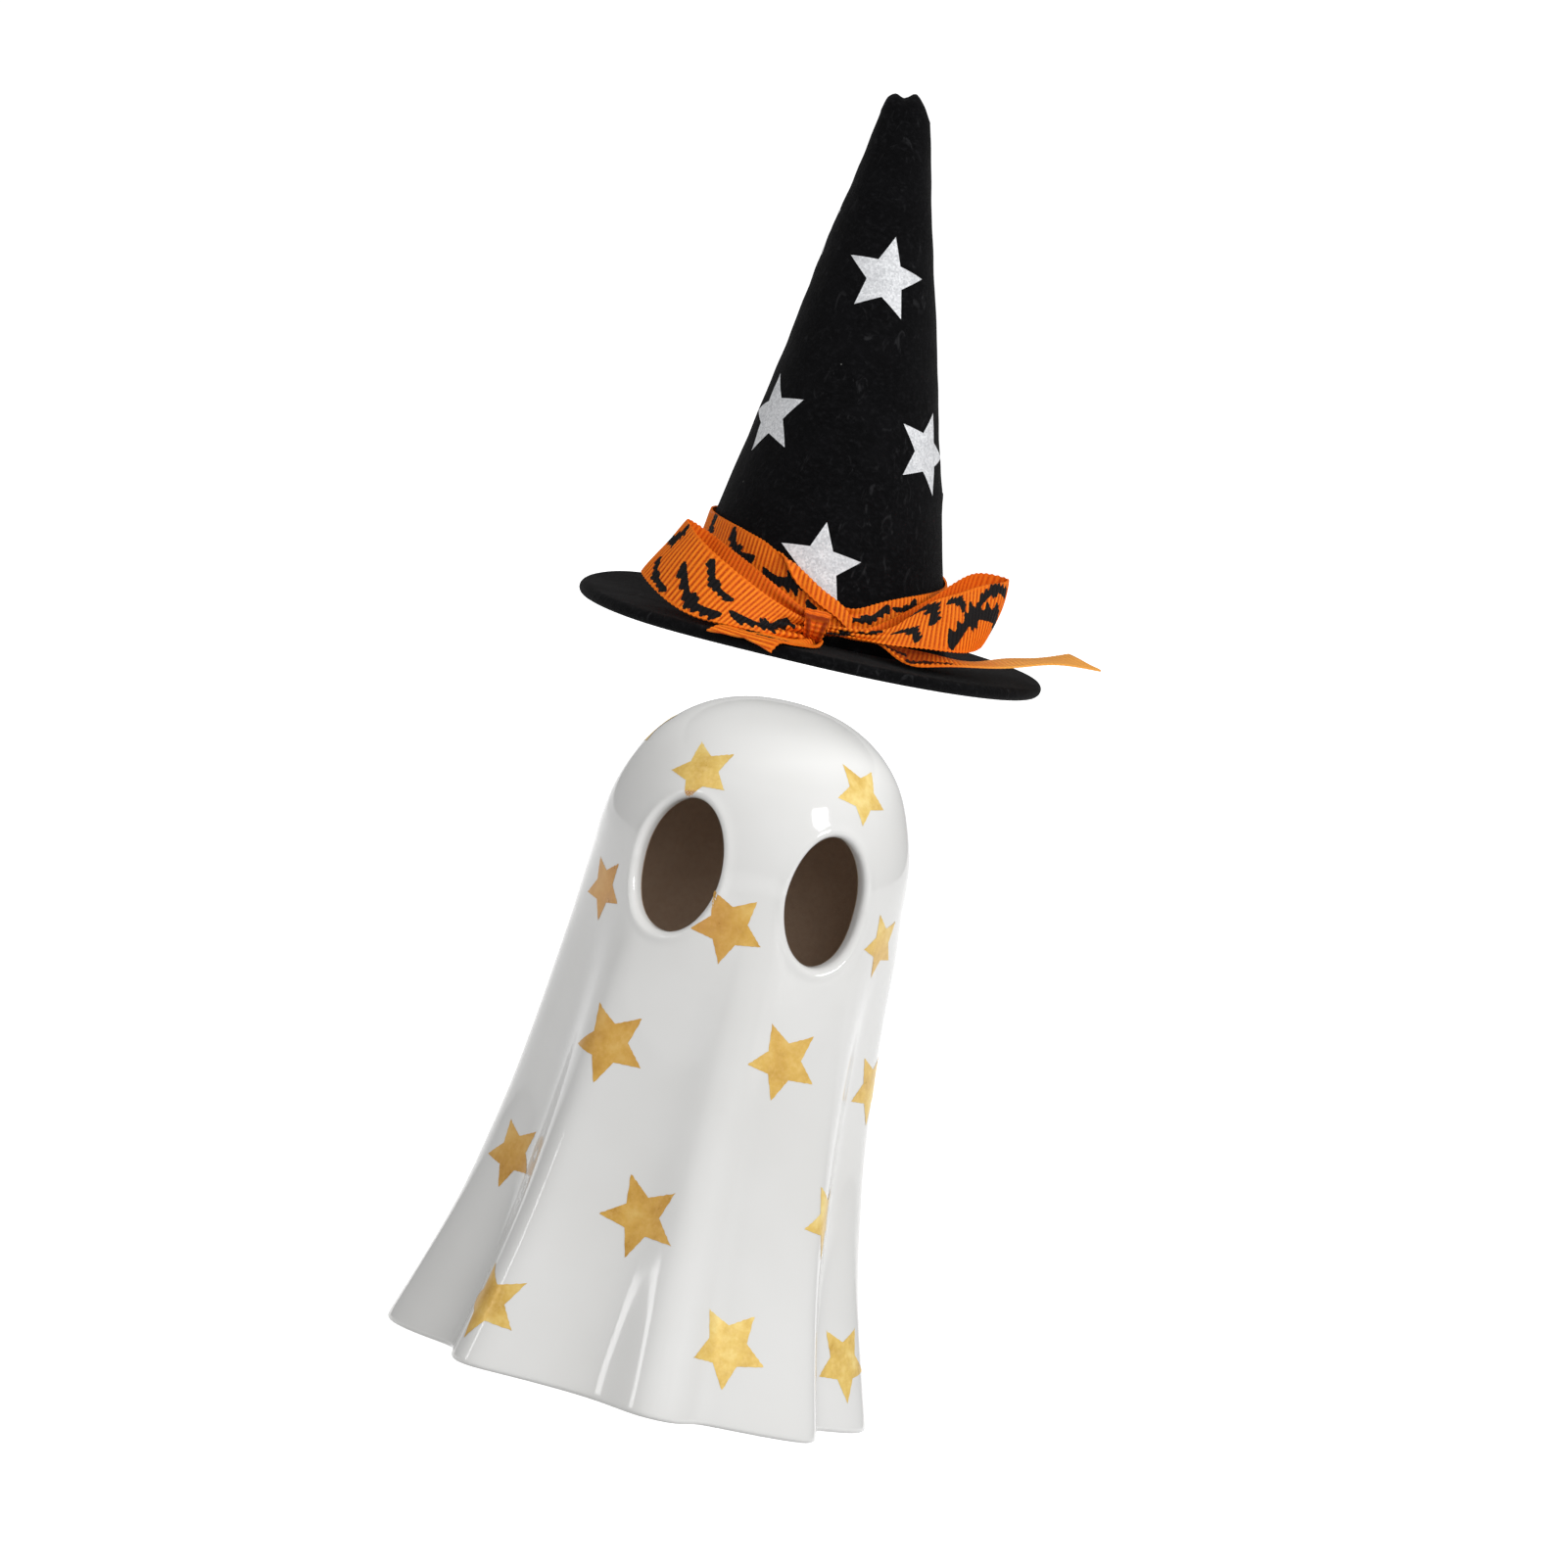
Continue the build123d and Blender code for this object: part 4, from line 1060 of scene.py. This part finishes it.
for piece, node, length, held in ((band, "hat_band", band_len, "stretched"), (loop_left, "bow_loop_left", loop_left_len, "folded"),
                                  (loop_right, "bow_loop_right", loop_right_len, "folded"), (tail_left, "bow_tail_left", tail_left_len, "laid"),
                                  (tail_right, "bow_tail_right", tail_right_len, "laid")):
    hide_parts(node)
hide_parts("bow_knot")

# ---------------------------------------------------------------- camera

F_PX, ROLL = 10980.9, math.radians(13.8)
turn = math.radians(-1.5)
eye = Vector((2.300 * math.sin(turn), -2.300 * math.cos(turn), 0.3575))
ahead = (Vector((0.0, 0.0, 0.140)) - eye).normalized()
right = ahead.cross(Vector((0, 0, 1))).normalized()
up = right.cross(ahead)
ahead = (ahead + right * (12.1 / F_PX) - up * (35.2 / F_PX)).normalized()
right = ahead.cross(Vector((0, 0, 1))).normalized()
up = right.cross(ahead)
cam_right = right * math.cos(ROLL) + up * math.sin(ROLL)
cam_up = up * math.cos(ROLL) - right * math.sin(ROLL)
cam = bpy.data.objects.new("camera", bpy.data.cameras.new("camera"))
cam.data.sensor_width = 36.0
cam.data.lens = F_PX / 1601.0 * 36.0
cam.data.clip_start, cam.data.clip_end = 0.1, 400.0
cam.matrix_world = Matrix(((cam_right.x, cam_up.x, -ahead.x, eye.x), (cam_right.y, cam_up.y, -ahead.y, eye.y),
                           (cam_right.z, cam_up.z, -ahead.z, eye.z), (0, 0, 0, 1)))
scene.collection.objects.link(cam)
scene.camera = cam

# ---------------------------------------------------------------- floor and light


def floor_mesh():
    n, rows = 96, [0.0, 0.15, 0.4, 0.9, 2.0, 5.0, 14.0, 40.0, 120.0]
    pts = [[0.0, 0.0, -0.05]]
    for r in rows[1:]:
        for i in range(n):
            a = 2 * math.pi * i / n
            pts.append([1000 * r * math.sin(a), -1000 * r * math.cos(a), -0.05])
    faces = [[0, 1 + (i + 1) % n, 1 + i] for i in range(n)]
    idx = 1 + np.arange((len(rows) - 1) * n).reshape(len(rows) - 1, n)
    return np.array(pts), faces + rings_to_faces(idx).tolist()


pts, fcs = floor_mesh()
floor, _ = put("floor", pts, fcs, [FLOOR], tidy=True)
if floor.data.polygons[0].normal.z < 0:
    floor.data.flip_normals()
floor.visible_diffuse = False    # the white sweep shows and reflects, but does not light the figure from below


def softbox(name, azimuth, elevation, distance, width, height, watts, aim=(0, 0, 0.12), shine=True):
    a, e = math.radians(azimuth), math.radians(elevation)
    way = Vector((math.sin(a) * math.cos(e), -math.cos(a) * math.cos(e), math.sin(e)))
    data = bpy.data.lights.new(name, "AREA")
    data.shape = "RECTANGLE"
    data.size, data.size_y, data.energy = width, height, watts
    ob = bpy.data.objects.new(name, data)
    ob.location = Vector(aim) + way * distance
    ob.rotation_mode = "QUATERNION"
    ob.rotation_quaternion = way.to_track_quat("Z", "Y")
    ob.visible_camera = False
    ob.visible_glossy = shine
    scene.collection.objects.link(ob)
    return ob


softbox("key", 50, 31, 1.7, 0.34, 0.44, 12.0)
softbox("fill", -60, 24, 1.7, 0.18, 1.00, 3.0)
softbox("front", 12, 20, 2.6, 1.2, 1.2, 18.0, shine=False)
softbox("over", 10, 78, 1.6, 1.3, 1.3, 3.6, shine=False)
softbox("back", 190, 30, 2.4, 1.4, 1.4, 13.0, shine=False)
# a small card of light between head and hat, so that the lifted hat does not black out the top of the head
softbox("under_hat", 0, 90, 0.040, 0.080, 0.080, 0.022, shine=False)
world = bpy.data.worlds.new("studio")
scene.world = world
world.use_nodes = True
bg = world.node_tree.nodes["Background"]
bg.inputs["Color"].default_value = (1.0, 1.0, 1.0, 1.0)
bg.inputs["Strength"].default_value = 0.40
scene.view_settings.view_transform = "Standard"
scene.view_settings.look = "None"
